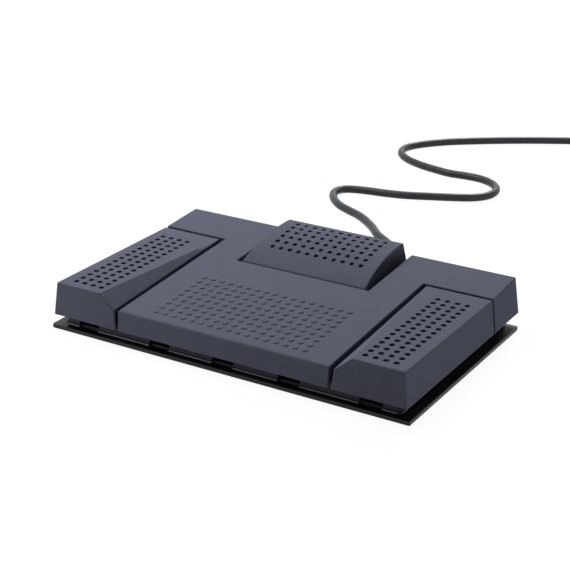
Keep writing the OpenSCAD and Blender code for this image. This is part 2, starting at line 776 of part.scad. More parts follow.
// Rear pedal: a curved tread with drafted sides
module rear_block(t) {
    low = t > 0 ? -1 : rear_rim_h;
    lean = tan(rear_draft);
    front = rear_front_y + t;
    side = rear_side(low) - t;
    side_up = rear_side(high_z) - t;
    intersection() {
        along_x(-skirt_w, skirt_w) polygon([
            [front, low], [tread_rear_y + (tread_h - low) * lean - t, low],
            [tread_rear_y + (tread_h - high_z) * lean - t, high_z], [front, high_z]
        ]);
        along_y(-skirt_d, skirt_d)
            polygon([[-side, low], [side, low], [side_up, high_z], [-side_up, high_z]]);
        rod_x(-skirt_w, skirt_w, tread_y, tread_axis_h, tread_r - t, $fn = 240);
    }
}
module rear_ribs() {
    press_half = 5;
    press_y = rear_hinge_y + rear_arm;
    block([rear_switch_x - press_half, press_y - 3, plunger_top + clear],
        [rear_switch_x + press_half, press_y + 3, tread_h]);
    post(0, rear_spring_y, rear_seat_h, tread_h, spring_boss_r);
    post(0, rear_spring_y, rear_seat_h - spring_post_h, tread_h, spring_post_r);
    both_sides() {
        post(rear_bumper_x, rear_bumper_y, rear_stop_z, tread_h, stop_post_r);
        along_x(rear_lug_out - lug_t, rear_lug_out) {
            translate([rear_hinge_y, rear_hinge_h]) circle(r = eye_r);
            translate([rear_hinge_y - eye_r, rear_hinge_h]) square([2 * eye_r, tread_h - rear_hinge_h]);
        }
    }
}
module rear_dimples() {
    turn = grip_pitch / tread_r * 180 / PI;
    for (i = [0 : rear_dimple_cols - 1], j = [0 : rear_dimple_rows - 1])
        translate([(i - (rear_dimple_cols - 1) / 2) * grip_pitch, tread_y, tread_axis_h])
            rotate([j * turn, 0, 0]) translate([0, 0, tread_r]) sphere(d = dimple_d);
}
module rear_pedal() {
    color("#565b6a") difference() {
        union() {
            difference() {
                rear_block(0);
                rear_block(wall);
            }
            intersection() {
                rear_ribs();
                rear_block(wall / 2);
            }
        }
        rear_dimples();
        rod_x(-rear_lug_out - 1, rear_lug_out + 1, rear_hinge_y, rear_hinge_h, pin_d / 2 + pin_fit);
    }
}

// Hinge pins: plain rods with chamfered ends
module pin_rod(x0, x1, y, z) {
    cham = 0.5;
    r = pin_d / 2;
    l = x1 - x0;
    translate([x0, y, z]) rotate([0, 90, 0]) rotate_extrude()
        polygon([[0, 0], [r - cham, 0], [r, cham], [r, l - cham], [r - cham, l], [0, l]]);
}
module right_hinge_pin_shape() {
    pin_rod(pedal_mid_x - post_out, pedal_mid_x + post_out, hinge_y, hinge_h);
}
module left_hinge_pin() {
    color("silver") left_side() right_hinge_pin_shape();
}
module right_hinge_pin() {
    color("silver") right_hinge_pin_shape();
}
module rear_hinge_pin() {
    color("silver") pin_rod(-rear_post_out, rear_post_out, rear_hinge_y, rear_hinge_h);
}

// Return springs
module return_spring(x, y, z) {
    steps = 8;
    rings = spring_turns * steps;
    climb = spring_h - spring_wire;
    path = [
        for (i = [0 : rings])
            let (a = 360 * i / steps, up = spring_wire / 2 + climb * i / rings)
            [x + spring_d / 2 * cos(a), y + spring_d / 2 * sin(a), z + up]
    ];
    tube(path, spring_wire / 2, 6);
}
module left_spring() {
    color("silver") left_side() return_spring(pedal_mid_x, spring_y, side_seat_z);
}
module right_spring() {
    color("silver") return_spring(pedal_mid_x, spring_y, side_seat_z);
}
module rear_spring() {
    color("silver") return_spring(0, rear_spring_y, rear_seat_z);
}

// Switches: the plunger stands at the local origin, on the body's top face
module switch_body() {
    half = switch_l / 2;
    difference() {
        block([-switch_t / 2, plunger_off - half, -switch_h], [switch_t / 2, plunger_off + half, 0]);
        post(0, 0, -plunger_sink, 1, plunger_d / 2 + pin_fit);
        for (s = [-1, 1])
            rod_x(-switch_t, switch_t, plunger_off + s * switch_hole_y, s * switch_hole_z - switch_h / 2,
                switch_hole_d / 2);
    }
}
module switch_plunger() {
    edge = 0.6;
    r = plunger_d / 2;
    rotate_extrude() polygon([
        [0, -plunger_deep], [r, -plunger_deep], [r, plunger_up - edge], [r - edge, plunger_up],
        [0, plunger_up]
    ]);
}
module switch_blades() {
    for (k = [-1 : 1]) {
        y = plunger_off + k * blade_step;
        block([-blade_t / 2, y - blade_w / 2, -switch_h - blade_l],
            [blade_t / 2, y + blade_w / 2, -switch_h]);
    }
}
module switch_screw_pair() {
    long = switch_t + bracket_t - 0.5;
    for (s = [-1, 1])
        translate([-switch_t / 2, plunger_off + s * switch_hole_y, s * switch_hole_z - switch_h / 2]) {
            rotate([0, 90, 0]) cylinder(d = small_screw_d, h = long);
            rotate([0, -90, 0]) cylinder(d = small_head_d, h = small_head_t);
        }
}
module left_switch() {
    color("#18181a") left_side() at_right_switch() switch_body();
}
module right_switch() {
    color("#18181a") at_right_switch() switch_body();
}
module rear_switch() {
    color("#18181a") at_rear_switch() switch_body();
}
module left_plunger() {
    color("#b5302a") left_side() at_right_switch() switch_plunger();
}
module right_plunger() {
    color("#b5302a") at_right_switch() switch_plunger();
}
module rear_plunger() {
    color("#b5302a") at_rear_switch() switch_plunger();
}
module switch_terminals() {
    color("#c9a24a") {
        both_sides() at_right_switch() switch_blades();
        at_rear_switch() switch_blades();
    }
}
module switch_screws() {
    color("silver") {
        both_sides() at_right_switch() switch_screw_pair();
        at_rear_switch() switch_screw_pair();
    }
}

// Rubber bumpers that end the pedals' travel
module bumper(x, y, z) {
    edge = 0.8;
    r = bumper_d / 2;
    translate([x, y, z]) rotate_extrude()
        polygon([[0, 0], [r, 0], [r, bumper_h - edge], [r - edge, bumper_h], [0, bumper_h]]);
}
module left_bumper() {
    color("#222222") left_side() bumper(pedal_mid_x, bumper_y, floor_z);
}
module right_bumper() {
    color("#222222") bumper(pedal_mid_x, bumper_y, floor_z);
}
module rear_bumpers() {
    color("#222222") both_sides() bumper(rear_bumper_x, rear_bumper_y, rear_tower_h);
}

// Circuit board and what is on it
module circuit_board() {
    color("#1f5a38") difference() {
        translate([0, 0, board_z]) linear_extrude(board_t)
            polygon(box_outline(-board_w / 2, board_front_y, board_w / 2, board_rear_y, 2));
        both_sides() for (y = board_hole_y)
            post(board_hole_x, y, board_z - 1, board_top + 1, small_screw_d / 2 + screw_fit);
    }
}
module board_screws() {
    color("silver") both_sides() for (y = board_hole_y) {
        post(board_hole_x, y, plate_z + 1, board_top, small_screw_d / 2);
        post(board_hole_x, y, board_top, board_top + small_head_t, small_head_d / 2);
    }
}
module controller_chip() {
    half = 5;
    color("#141416")
        block([-half, board_mid_y - half, board_top], [half, board_mid_y + half, board_top + 1.6]);
}
module crystal() {
    color("silver") translate([0, board_front_y + 8, board_top]) linear_extrude(3.5)
        polygon(box_outline(-5.6, -2.3, 5.6, 2.3, 2));
}
module capacitors() {
    color("#20304a") for (x = [-16, 16]) post(x, board_mid_y - 9, board_top, board_top + 7, 2.5);
}
module rear_edge_header(x, w) {
    block([x - w / 2, board_rear_y - header_t, board_top], [x + w / 2, board_rear_y, board_top + header_h]);
}
module board_headers() {
    side = board_w / 2;
    half = header_w / 2;
    top = board_top + header_h;
    color("#e6e2d6") {
        both_sides() block([side - header_t, board_mid_y - half, board_top], [side, board_mid_y + half, top]);
        rear_edge_header(rear_header_x, header_w);
        rear_edge_header(cord_header_x, cord_header_w);
    }
}

// Screws from below
module flat_screw(at, long) {
    translate([at[0], at[1], foot_t]) {
        cylinder(d = screw_d, h = long);
        cylinder(d1 = screw_head_d, d2 = screw_d, h = (screw_head_d - screw_d) / 2);
    }
}
module base_screws() {
    color("#303034") for (at = base_screw_at) flat_screw(at, base_t + chassis_t + base_boss_h - 1);
}
module cover_screws() {
    color("#303034") for (at = cover_screw_at) flat_screw(at, cover_screw_l);
}

// Wires from the switches to the board
module switch_wire(points, first, last) {
    tube(smooth(points, 3), wire_d / 2, 6, first, last);
}
module right_wires_shape() {
    x = pedal_mid_x - blade_t / 2;
    z = switch_z - blade_l / 2;
    plug_x = board_w / 2;
    for (s = [-1, 1]) {
        y = hinge_y - side_arm + plunger_off + (s - 1) / 2 * blade_step;
        lane_y = board_mid_y + s * wire_step / 2;
        switch_wire([
            [x, y, z], [x - 4, y, z], [x - 10, y, wire_low + 1], [x - 18, y, wire_low],
            [x - 40, y - 4, wire_low], [plug_x + 26, lane_y + 14, wire_low],
            [plug_x + 16, lane_y + 3, wire_low + 1], [plug_x + 8, lane_y, wire_h - 1],
            [plug_x + 3, lane_y, wire_h], [plug_x, lane_y, wire_h]
        ], [-1, 0, 0], [-1, 0, 0]);
    }
}
module left_wires() {
    color("#3a3a3e") left_side() right_wires_shape();
}
module right_wires() {
    color("#3a3a3e") right_wires_shape();
}
module rear_wires() {
    x = rear_switch_x + blade_t / 2;
    z = switch_z - blade_l / 2;
    plug_y = board_rear_y;
    color("#3a3a3e") for (s = [-1, 1]) {
        y = rear_hinge_y + rear_arm + plunger_off + (s - 1) / 2 * blade_step;
        lane_x = rear_header_x + s * wire_step / 2;
        switch_wire([
            [x, y, z], [x + 3, y, z], [lane_x - 2, y - 3, z - 1], [lane_x, y - 9, wire_low + 1],
            [lane_x, y - 18, wire_low], [lane_x, plug_y + 26, wire_low], [lane_x, plug_y + 14, wire_low + 1],
            [lane_x, plug_y + 7, wire_h - 1.5], [lane_x, plug_y + 3, wire_h], [lane_x, plug_y, wire_h]
        ], [1, 0, 0], [0, -1, 0]);
    }
}

// Cord clamp, strain relief and the lead inside the housing
module cord_clamp() {
    bore = cord_d / 2 + cord_fit;
    screw_r = small_screw_d / 2 + screw_fit;
    color("#2c2c31") difference() {
        block([exit_x - clamp_half, clamp_y[0], clamp_saddle], [exit_x + clamp_half, clamp_y[1], clamp_top]);
        rod_y(clamp_y[0] - 1, clamp_y[1] + 1, exit_x, exit_h, bore);
        block([exit_x - bore, clamp_y[0] - 1, clamp_saddle - 1], [exit_x + bore, clamp_y[1] + 1, exit_h]);
        for (s = [-1, 1])
            post(exit_x + s * clamp_screw_x, clamp_mid_y, clamp_saddle - 1, clamp_top + 1, screw_r);
    }
}
module clamp_screws() {
    color("silver") for (x = [exit_x - clamp_screw_x, exit_x + clamp_screw_x]) {
        post(x, clamp_mid_y, plate_z + 1, clamp_top, small_screw_d / 2);
        post(x, clamp_mid_y, clamp_top, clamp_top + small_head_t, small_head_d / 2);
    }
}
module strain_relief() {
    bore = cord_d / 2 + cord_fit;
    in_y = -chassis_t - boot_flange_t;
    tip = 3;
    rib = (boot_l - boot_flange_t - tip) / boot_ribs;
    groove = 0.7;
    inside = [
        [bore, in_y], [boot_flange_r, in_y], [boot_flange_r, -chassis_t], [boot_neck_r, -chassis_t],
        [boot_neck_r, 0], [boot_flange_r, 0], [boot_flange_r, boot_flange_t]
    ];
    ribs = [
        for (k = [0 : boot_ribs - 1])
            let (y = boot_flange_t + k * rib, r = boot_r + (boot_tip_r - boot_r) * k / boot_ribs)
            each [[r, y + 0.2], [r, y + rib * 0.6], [r - groove, y + rib * 0.7], [r - groove, y + rib]]
    ];
    end = [
        [boot_tip_r, boot_l - tip + 0.2], [boot_tip_r, boot_l - 0.6],
        [boot_tip_r - 0.4, boot_l], [bore, boot_l]
    ];
    color("#3d4448") translate([exit_x, chassis_rear_y, exit_h]) rotate([-90, 0, 0])
        rotate_extrude() polygon(concat(inside, ribs, end));
}
module cord_lead() {
    plug_y = board_rear_y;
    points = [
        [exit_x, cord_split_y, exit_h], [exit_x, clamp_y[0] - 10, exit_h], [exit_x, plug_y + 48, exit_h],
        [exit_x, plug_y + 24, exit_h], [exit_x - 1.5, plug_y + 13, exit_h + 0.8],
        [cord_header_x, plug_y + 4, wire_h], [cord_header_x, plug_y, wire_h]
    ];
    color("#454c50") tube(smooth(points, 3), cord_d / 2, 10, [0, -1, 0], [0, -1, 0]);
}

// Cord on the floor
coil_lead_in = coil_start - cord_d * [cos(coil_dir), sin(coil_dir)];
cord_points = concat(
    [[exit_x, boot_end_y, exit_h]],
    [for (p = cord_route) [p[0], p[1], p[2] + cord_d / 2]],
    [[each coil_lead_in, coil_low_z]]
);
module cord() {
    path = concat([[exit_x, cord_split_y, exit_h]], smooth(cord_points, 2));
    color("#454c50") tube(path, cord_d / 2, 8, [0, 1, 0], flat_dir(coil_dir));
}

// Coil: the turns spiral in on the floor layer and out again on the upper layer
function coil_point(t) =
    let (
        turn = t - coil_half, r = coil_in_r + coil_pitch * abs(turn), a = coil_dir + 90 - 360 * t,
        up = min(max(2 * turn + 0.5, 0), 1)
    )
    [each coil_mid + r * [cos(a), sin(a)], coil_low_z + coil_pitch * up];
coil_last = coil_end + cord_d * [cos(coil_end_dir), sin(coil_end_dir)];
coil_path = concat(
    [[each coil_lead_in, coil_low_z]],
    [for (i = [0 : coil_turns * coil_steps]) coil_point(i / coil_steps)],
    [[each coil_last, coil_high_z]]
);
coil_gap = min([
    for (i = [0 : len(coil_path) - 1], j = [i + coil_steps / 2 : 1 : len(coil_path) - 1])
        norm(coil_path[i] - coil_path[j])
]) - cord_d;
module cord_coil() {
    echo(coil_least_gap = coil_gap);
    color("#454c50") tube(coil_path, cord_d / 2, 6);
}
module cord_tail() {
    steps = 6;
    dir = flat_dir(coil_end_dir);
    path = [
        for (i = [0 : steps])
            let (s = i / steps, z = plug_z + (coil_high_z - plug_z) * (1 + cos(180 * s)) / 2)
            [each coil_last, z] + s * tail_l * dir
    ];
    color("#454c50") tube(path, cord_d / 2, 8, dir, dir);
}
module coil_tie() {
    room = cord_d / 2 + clear;
    low = coil_in_r + coil_pitch * 0.4 - room;
    high = coil_out_r + room;
    top = coil_high_z + room;
    color("#26282a") translate([each coil_mid, 0]) rotate([0, 0, coil_dir + 90 - tie_turn])
        along_y(-tie_w / 2, tie_w / 2) difference() {
            polygon(box_outline(low - tie_t, 0, high + tie_t, top + tie_t, tie_r + tie_t));
            polygon(box_outline(low, tie_t, high, top, tie_r));
        }
}

// Plug, along its own X axis from the end of the cord
module at_plug(x) {
    translate([each plug_at, plug_z]) rotate([0, 0, coil_end_dir]) translate([x, 0, 0]) children();
}
module plug_grip() {
    rib_in = grip_w / 2 - 2.5;
    face = grip_t / 2;
    color("#2f3336") at_plug(0) difference() {
        union() {
            rotate([0, 90, 0]) cylinder(d1 = cord_d + 1.6, d2 = grip_t - 0.4, h = neck_l + 2);
            translate([neck_l, 0, 0]) rotate([90, 0, 90]) linear_extrude(grip_l - neck_l)
                polygon(box_outline(-grip_w / 2, -face, grip_w / 2, face, 2));
        }
        for (x = [neck_l + 4 : 3 : neck_l + 10], s = [-1, 1])
            block([x, -rib_in, s * face - 0.4], [x + 1.4, rib_in, s * face + 0.4]);
    }
}
module plug_shell() {
    half = shell_w / 2;
    face = shell_t / 2;
    room = half - shell_sheet;
    window = 1.2;
    window_x = shell_l - 7.4;
    color("silver") at_plug(grip_l) difference() {
        block([0, -half, -face], [shell_l, half, face]);
        block([-1, -room, -face + shell_sheet], [shell_l + 1, room, face - shell_sheet]);
        for (y = [-2.9, 2.9])
            block([window_x, y - window, 0], [window_x + 2 * window, y + window, shell_t]);
    }
}
module plug_insert() {
    half = shell_w / 2 - shell_sheet;
    low = -shell_t / 2 + shell_sheet;
    color("#e8e6e0") at_plug(grip_l) block([0, -half, low], [shell_l - 0.8, half, low + insert_t]);
}
module plug_contacts() {
    top = -shell_t / 2 + shell_sheet + insert_t;
    color("#c9a24a") at_plug(grip_l) for (k = [0 : contact_n - 1]) {
        y = (k - (contact_n - 1) / 2) * contact_pitch;
        block([6, y - 0.5, top], [shell_l - 2, y + 0.5, top + 0.2]);
    }
}

base_plate();
rubber_feet();
chassis();
top_cover();
left_pedal();
right_pedal();
rear_pedal();
left_hinge_pin();
right_hinge_pin();
rear_hinge_pin();
left_spring();
right_spring();
rear_spring();
left_switch();
right_switch();
rear_switch();
left_plunger();
right_plunger();
rear_plunger();
switch_terminals();
switch_screws();
left_bumper();
right_bumper();
rear_bumpers();
circuit_board();
controller_chip();
crystal();
capacitors();
board_headers();
board_screws();
base_screws();
cover_screws();
left_wires();
right_wires();
rear_wires();
cord_clamp();
clamp_screws();
strain_relief();
cord_lead();
cord();
cord_coil();
cord_tail();
coil_tie();
plug_grip();
plug_shell();
plug_insert();
plug_contacts();
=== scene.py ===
import json
import math

import bmesh
import bpy
from mathutils import Matrix, Vector


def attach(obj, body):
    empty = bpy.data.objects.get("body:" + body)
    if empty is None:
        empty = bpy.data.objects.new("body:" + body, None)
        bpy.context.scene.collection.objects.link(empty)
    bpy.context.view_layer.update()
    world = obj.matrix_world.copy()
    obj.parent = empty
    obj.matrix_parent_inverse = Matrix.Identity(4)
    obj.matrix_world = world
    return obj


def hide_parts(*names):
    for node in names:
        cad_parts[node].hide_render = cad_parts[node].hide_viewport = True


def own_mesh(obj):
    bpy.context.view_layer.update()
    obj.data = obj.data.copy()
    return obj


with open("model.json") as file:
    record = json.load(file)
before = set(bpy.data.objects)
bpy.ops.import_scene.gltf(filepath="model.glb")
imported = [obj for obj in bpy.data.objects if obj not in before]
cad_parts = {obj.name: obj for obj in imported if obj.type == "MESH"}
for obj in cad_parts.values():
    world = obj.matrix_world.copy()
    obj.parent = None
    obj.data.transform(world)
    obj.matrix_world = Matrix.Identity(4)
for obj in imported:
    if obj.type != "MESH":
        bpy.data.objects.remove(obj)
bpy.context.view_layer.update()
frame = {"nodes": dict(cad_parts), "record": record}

nodes = frame["nodes"]

# Shapes are in millimetres, in the part's own frame, and piece() turns them to metres. NEAR is how close
# a corner lies to a line to count as on it, ROOT is how far a rib or post runs into its wall, and FOLD is
# the least turn between two faces, in radians, whose edge is rounded.
MM = 0.001
NEAR = 0.1
ROOT = 0.4
FOLD = 0.5

# Housing
SKIRT_X = 147.5
SKIRT_Y = 92.0
SKIRT_Z = 12.5
SIDE_LEAN = math.tan(math.radians(6.5))
FRONT_LEAN = math.tan(math.radians(4.0))
REAR_LEAN = math.tan(math.radians(4.5))
WALL = 2.5
DECK_X = 88.25
DECK_FRONT_Z = 28.0
DECK_REAR_Z = 41.2
BAR_Y = 49.5
NOTCH_X = 57.75
NOTCH_Y = 20.6
BRIDGE_Z = 21.5
RIM_Z = 19.3
RIM_Y = -87.6
RIM_CLEAR = 0.3
EDGE_R = 0.9
DECK_NOSE_R = 2.0
ARCH_R = 6.0
ARCH_POINTS = 17
CHASSIS_FLOOR_Z = 6.0
COVER_SCREWS = [(72, -72), (104, 68)]
BOSS_R = 4.0
LATCH_X = 54.5
LATCH_HALF = 7.0
LATCH_Y = (-90.0, -83.5)
LATCH_Z = (12.7, 14.7)

# Chassis lip: where its painted highlight, a paler line standing in for the light its edge catches, begins
# at the sides and in front, and how wide it fades in
LIP_X = 141.1
LIP_Y = -87.6
LIP_FADE = 0.4

# Grip pattern. A stud's rings give a share of its radius and the climb to that ring; a bowl's rings give
# shares of its radius across and down.
PITCH = 7.8
BUMP_R = 2.35
BUMP_COLS = 17
BUMP_ROWS = 9
BUMP_Y = -78.6
BUMP_SINK = 0.5
BUMP_RINGS = ((1.0, 0.45), (0.96, 0.25), (0.86, 0.28), (0.68, 0.14), (0.36, 0.05))
DIMPLE_R = 2.2
REAR_DIMPLE_R = 1.95
DIMPLE_RIM = 1.08
BOWL_RINGS = ((1.0, 0.05), (0.95, 0.65), (0.8, 0.93), (0.4, 1.02))

# Side pedals
PEDAL_IN = 92.0
PEDAL_Z = 38.0
PEDAL_REAR = 46.5
PEDAL_LATCH_X = 118.5
CHAMFER_W = 13.3
CHAMFER_H = 10.95
CHAMFER_RUN = 3.0
CHAMFER_EDGE_R = 0.5
CHAMFER_EDGE_END = 21.0
FRONT_FLARE = 1.9
DIMPLE_COLS = 4
DIMPLE_ROWS = 15
DIMPLE_Y = -80.6
DIMPLE_INSET = 22.8
HINGE_Y = 41.0
HINGE_Z = 29.0
SIDE_TRAVEL = math.radians(2.8)
SPRING_Y = -62.0
BUMPER_Y = -40.0
SWITCH_ARM = 28.0
SWITCH_Y = HINGE_Y - SWITCH_ARM
LUG_OUT = 16.5
PRESSER_HALF = (4.0, 3.0)
PRESSER_Z = 31.0
STOP_HALF = (10.0, 1.5)
STOP_Z = 13.4
# Ribs cross the shell in front of the spring and behind the bumper
RIB_LINES = (SPRING_Y - 13.0, BUMPER_Y + 20.0)
RIB_HALF = 0.8
RIB_Z = 30.5
RIB_GAP = 2.0
RIB_ROOT = 0.3
GUIDE_R = 3.8

# Rear pedal
REAR_TOP_X = 51.4
REAR_FRONT = 22.0
REAR_RIM_Z = 27.5
REAR_SIDE_LEAN = math.tan(math.radians(10.5))
REAR_EDGE_R = 1.0
TREAD_R = 128.0
TREAD_Y = 81.0
TREAD_Z = 50.1
TREAD_REAR = 88.2
TREAD_ROWS = 8
REAR_DIMPLE_ROWS = 6
REAR_DIMPLE_COLS = 11
REAR_HINGE_Y = 29.0
REAR_HINGE_Z = 26.0
REAR_LUG_X = 41.0
REAR_SPRING_Y = 70.0
REAR_BOSS_R = 6.5
REAR_BOSS_Z = 44.0
REAR_GUIDE_R = 3.0
REAR_GUIDE_Z = (39.0, 44.5)
REAR_PRESSER_X = (-27.0, -17.0)
REAR_PRESSER_Y = (43.0, 49.0)
REAR_STOP_X = 40.0
REAR_STOP_Y = 75.0
REAR_STOP_R = 4.0
REAR_STOP_Z = 27.7

# Hinges and springs
PIN_R = 2.05
EYE_R = 4.2
LUG_T = 4.0
LUG_ROOT = 1.0
SPRING_R = 5.3
SPRING_WIRE_R = 0.7
SPRING_H = 26.0
SPRING_TURNS = 6
SPRING_STEPS = 24
SIDE_SEAT_Z = 9.2
REAR_SEAT_Z = 17.7

# Cord, in metres: its route on the floor with the height of its underside, and its coil
CORD_R = 0.0037
CORD_EXIT = (0.018, 0.0855, 0.0126)
CORD_BOOT_END = (0.018, 0.1115, 0.0126)
CORD_ROUTE = [
    (0.018, 0.124, 0.0084), (0.0175, 0.136, 0.0056), (0.015, 0.149, 0.0022), (0.009, 0.163, 0.0003),
    (-0.001, 0.176, 0), (-0.014, 0.1885, 0), (-0.030, 0.201, 0), (-0.043, 0.215, 0), (-0.056, 0.227, 0),
    (-0.069, 0.2365, 0), (-0.083, 0.2435, 0), (-0.097, 0.2515, 0), (-0.1105, 0.2645, 0),
    (-0.1185, 0.279, 0), (-0.117, 0.291, 0), (-0.1075, 0.297, 0), (-0.093, 0.3005, 0), (-0.076, 0.303, 0),
    (-0.058, 0.3075, 0), (-0.039, 0.3155, 0), (-0.020, 0.324, 0), (-0.003, 0.333, 0), (0.007, 0.344, 0),
    (0.010, 0.3575, 0), (0.006, 0.3705, 0), (-0.004, 0.3815, 0), (-0.0185, 0.388, 0), (-0.0345, 0.389, 0),
    (-0.051, 0.388, 0), (-0.069, 0.3915, 0), (-0.0875, 0.397, 0), (-0.107, 0.407, 0), (-0.121, 0.4215, 0),
    (-0.125, 0.439, 0), (-0.117, 0.458, 0), (-0.098, 0.480, 0), (-0.070, 0.502, 0), (-0.036, 0.525, 0),
    (0.0, 0.546, 0), (0.030, 0.560, 0.0004),
]
ROUTE_STEPS = 8
COIL_START = Vector((0.066, 0.574))
COIL_DIR = math.radians(20)
COIL_TURNS = 5.25
COIL_STEPS = 48
COIL_R = 0.033
COIL_PITCH = 0.008
COIL_LOW_Z = 0.005
COIL_LEAD = 2 * CORD_R
TAIL_L = 0.058
TAIL_STEPS = 24
PLUG_Z = 0.005

# CAD nodes whose edges are eased, and how wide: those of the housing, and those that go with the cord
HOUSING_EASE = {"base_plate": 0.4, "chassis": 0.3, "rubber_feet": 0.2}
CORD_EASE = {"strain_relief": 0.25, "coil_tie": 0.25, "plug_grip": 0.6, "plug_shell": 0.15}

# A noise pattern lies mostly between these two values, which are taken as its least and most
NOISE_LOW = 0.3
NOISE_HIGH = 0.7

# A plastic's cloudiness: its size in millimetres, and its share of the tone beside the grain's
CLOUD_MM = 14
CLOUD_SHARE = 0.16

# The photograph's camera: its bearing and height as angles, its distance and the point it looks at in
# metres, its lens in millimetres, and its shift
VIEW_AZIMUTH = math.radians(31.512)
VIEW_ELEVATION = math.radians(23.265)
VIEW_DISTANCE = 1.092996
VIEW_TARGET = Vector((-0.005649, 0.006137, 0.021010))
VIEW_LENS = 91.88
VIEW_SHIFT = (0.0005, 0.0233)

# Lamps: name, place, the point it faces, width and height in metres, and watts. A far key behind to the
# left and a near soft box over the left side light the tops. Strips that stand on the floor to the right
# and in front, too low to reach over the housing, light its walls.
LAMPS = [
    ("key", (-0.7, 2.8, 2.65), (0, 0, 0), 0.9, 0.9, 73),
    ("soft_box", (-0.45, 0.05, 0.70), (0, 0, 0), 0.4, 0.4, 3.5),
    ("side_strip", (0.45, 0.0, 0.012), (0, 0, 0.03), 0.6, 0.016, 0.3),
    ("front_strip", (-0.27, -0.42, 0.012), (0, 0, 0.03), 0.6, 0.016, 0.57),
]


def add_camera():
    """The camera of the photograph."""
    camera = bpy.data.objects.new("camera", bpy.data.cameras.new("camera"))
    bpy.context.scene.collection.objects.link(camera)
    bpy.context.scene.camera = camera
    flat = math.cos(VIEW_ELEVATION)
    out = Vector((math.sin(VIEW_AZIMUTH) * flat, -math.cos(VIEW_AZIMUTH) * flat, math.sin(VIEW_ELEVATION)))
    camera.location = VIEW_TARGET + VIEW_DISTANCE * out
    camera.rotation_euler = out.to_track_quat("Z", "Y").to_euler()
    camera.data.sensor_width = 36
    camera.data.lens = VIEW_LENS
    camera.data.shift_x, camera.data.shift_y = VIEW_SHIFT
    camera.data.clip_end = 50


def smooth_line(points, steps):
    """A smooth curve through the points, as the part's source draws it."""
    points = [Vector(p) for p in points]
    ends = [2 * points[0] - points[1], *points, 2 * points[-1] - points[-2]]
    line = []
    for a, b, c, d in zip(ends, ends[1:], ends[2:], ends[3:]):
        for k in range(steps):
            t = k / steps
            line.append(0.5 * (2 * b + (c - a) * t + (2 * a - 5 * b + 4 * c - d) * t ** 2
                               + (3 * b - a - 3 * c + d) * t ** 3))
    return [*line, points[-1]]


def cord_line():
    """The cord's middle line: out of the boot, over the floor, round the coil and along the tail."""
    half = COIL_TURNS / 2
    in_r = COIL_R - COIL_PITCH * half / 2
    out_r = COIL_R + COIL_PITCH * half / 2
    middle = COIL_START + out_r * Vector((math.sin(COIL_DIR), -math.cos(COIL_DIR)))
    lead_in = COIL_START - COIL_LEAD * Vector((math.cos(COIL_DIR), math.sin(COIL_DIR)))
    line = [Vector(CORD_EXIT)]
    route = [(x, y, under + CORD_R) for x, y, under in CORD_ROUTE]
    line += smooth_line([CORD_BOOT_END, *route, (*lead_in, COIL_LOW_Z)], ROUTE_STEPS)
    # The turns wind in on the floor, step up, and wind out again on top
    for i in range(round(COIL_TURNS * COIL_STEPS) + 1):
        turn = i / COIL_STEPS - half
        r = in_r + COIL_PITCH * abs(turn)
        angle = COIL_DIR + math.pi / 2 - 2 * math.pi * i / COIL_STEPS
        lift = min(max(2 * turn + 0.5, 0), 1)
        at = middle + r * Vector((math.cos(angle), math.sin(angle)))
        line.append(Vector((*at, COIL_LOW_Z + COIL_PITCH * lift)))
    ahead = Vector((math.sin(COIL_DIR), -math.cos(COIL_DIR), 0))
    last = line[-1] + COIL_LEAD * ahead
    for k in range(TAIL_STEPS + 1):
        share = k / TAIL_STEPS
        drop = (last.z - PLUG_Z) * (1 - math.cos(math.pi * share)) / 2
        line.append(last + share * TAIL_L * ahead - Vector((0, 0, drop)))
    return line


def linear(code):
    """An sRGB hex colour as linear RGBA."""
    shares = [int(code[k:k + 2], 16) / 255 for k in (1, 3, 5)]
    return [s / 12.92 if s <= 0.04045 else ((s + 0.055) / 1.055) ** 2.4 for s in shares] + [1.0]


def node(tree, kind, links=(), **settings):
    """Adds a node, with its settings, and sets or links its sockets.

    A socket goes by its name, or by its number where several share one: a Mix node's colours are 6 and 7.
    """
    made = tree.nodes.new(kind)
    for name, value in settings.items():
        setattr(made, name, value)
    for socket, value in dict(links).items():
        if isinstance(value, bpy.types.NodeSocket):
            tree.links.new(value, made.inputs[socket])
        else:
            made.inputs[socket].default_value = value
    return made


def new_finish(name):
    """A material with an empty node tree, and that tree."""
    material = bpy.data.materials.new(name)
    material.use_nodes = True
    material.node_tree.nodes.clear()
    return material, material.node_tree


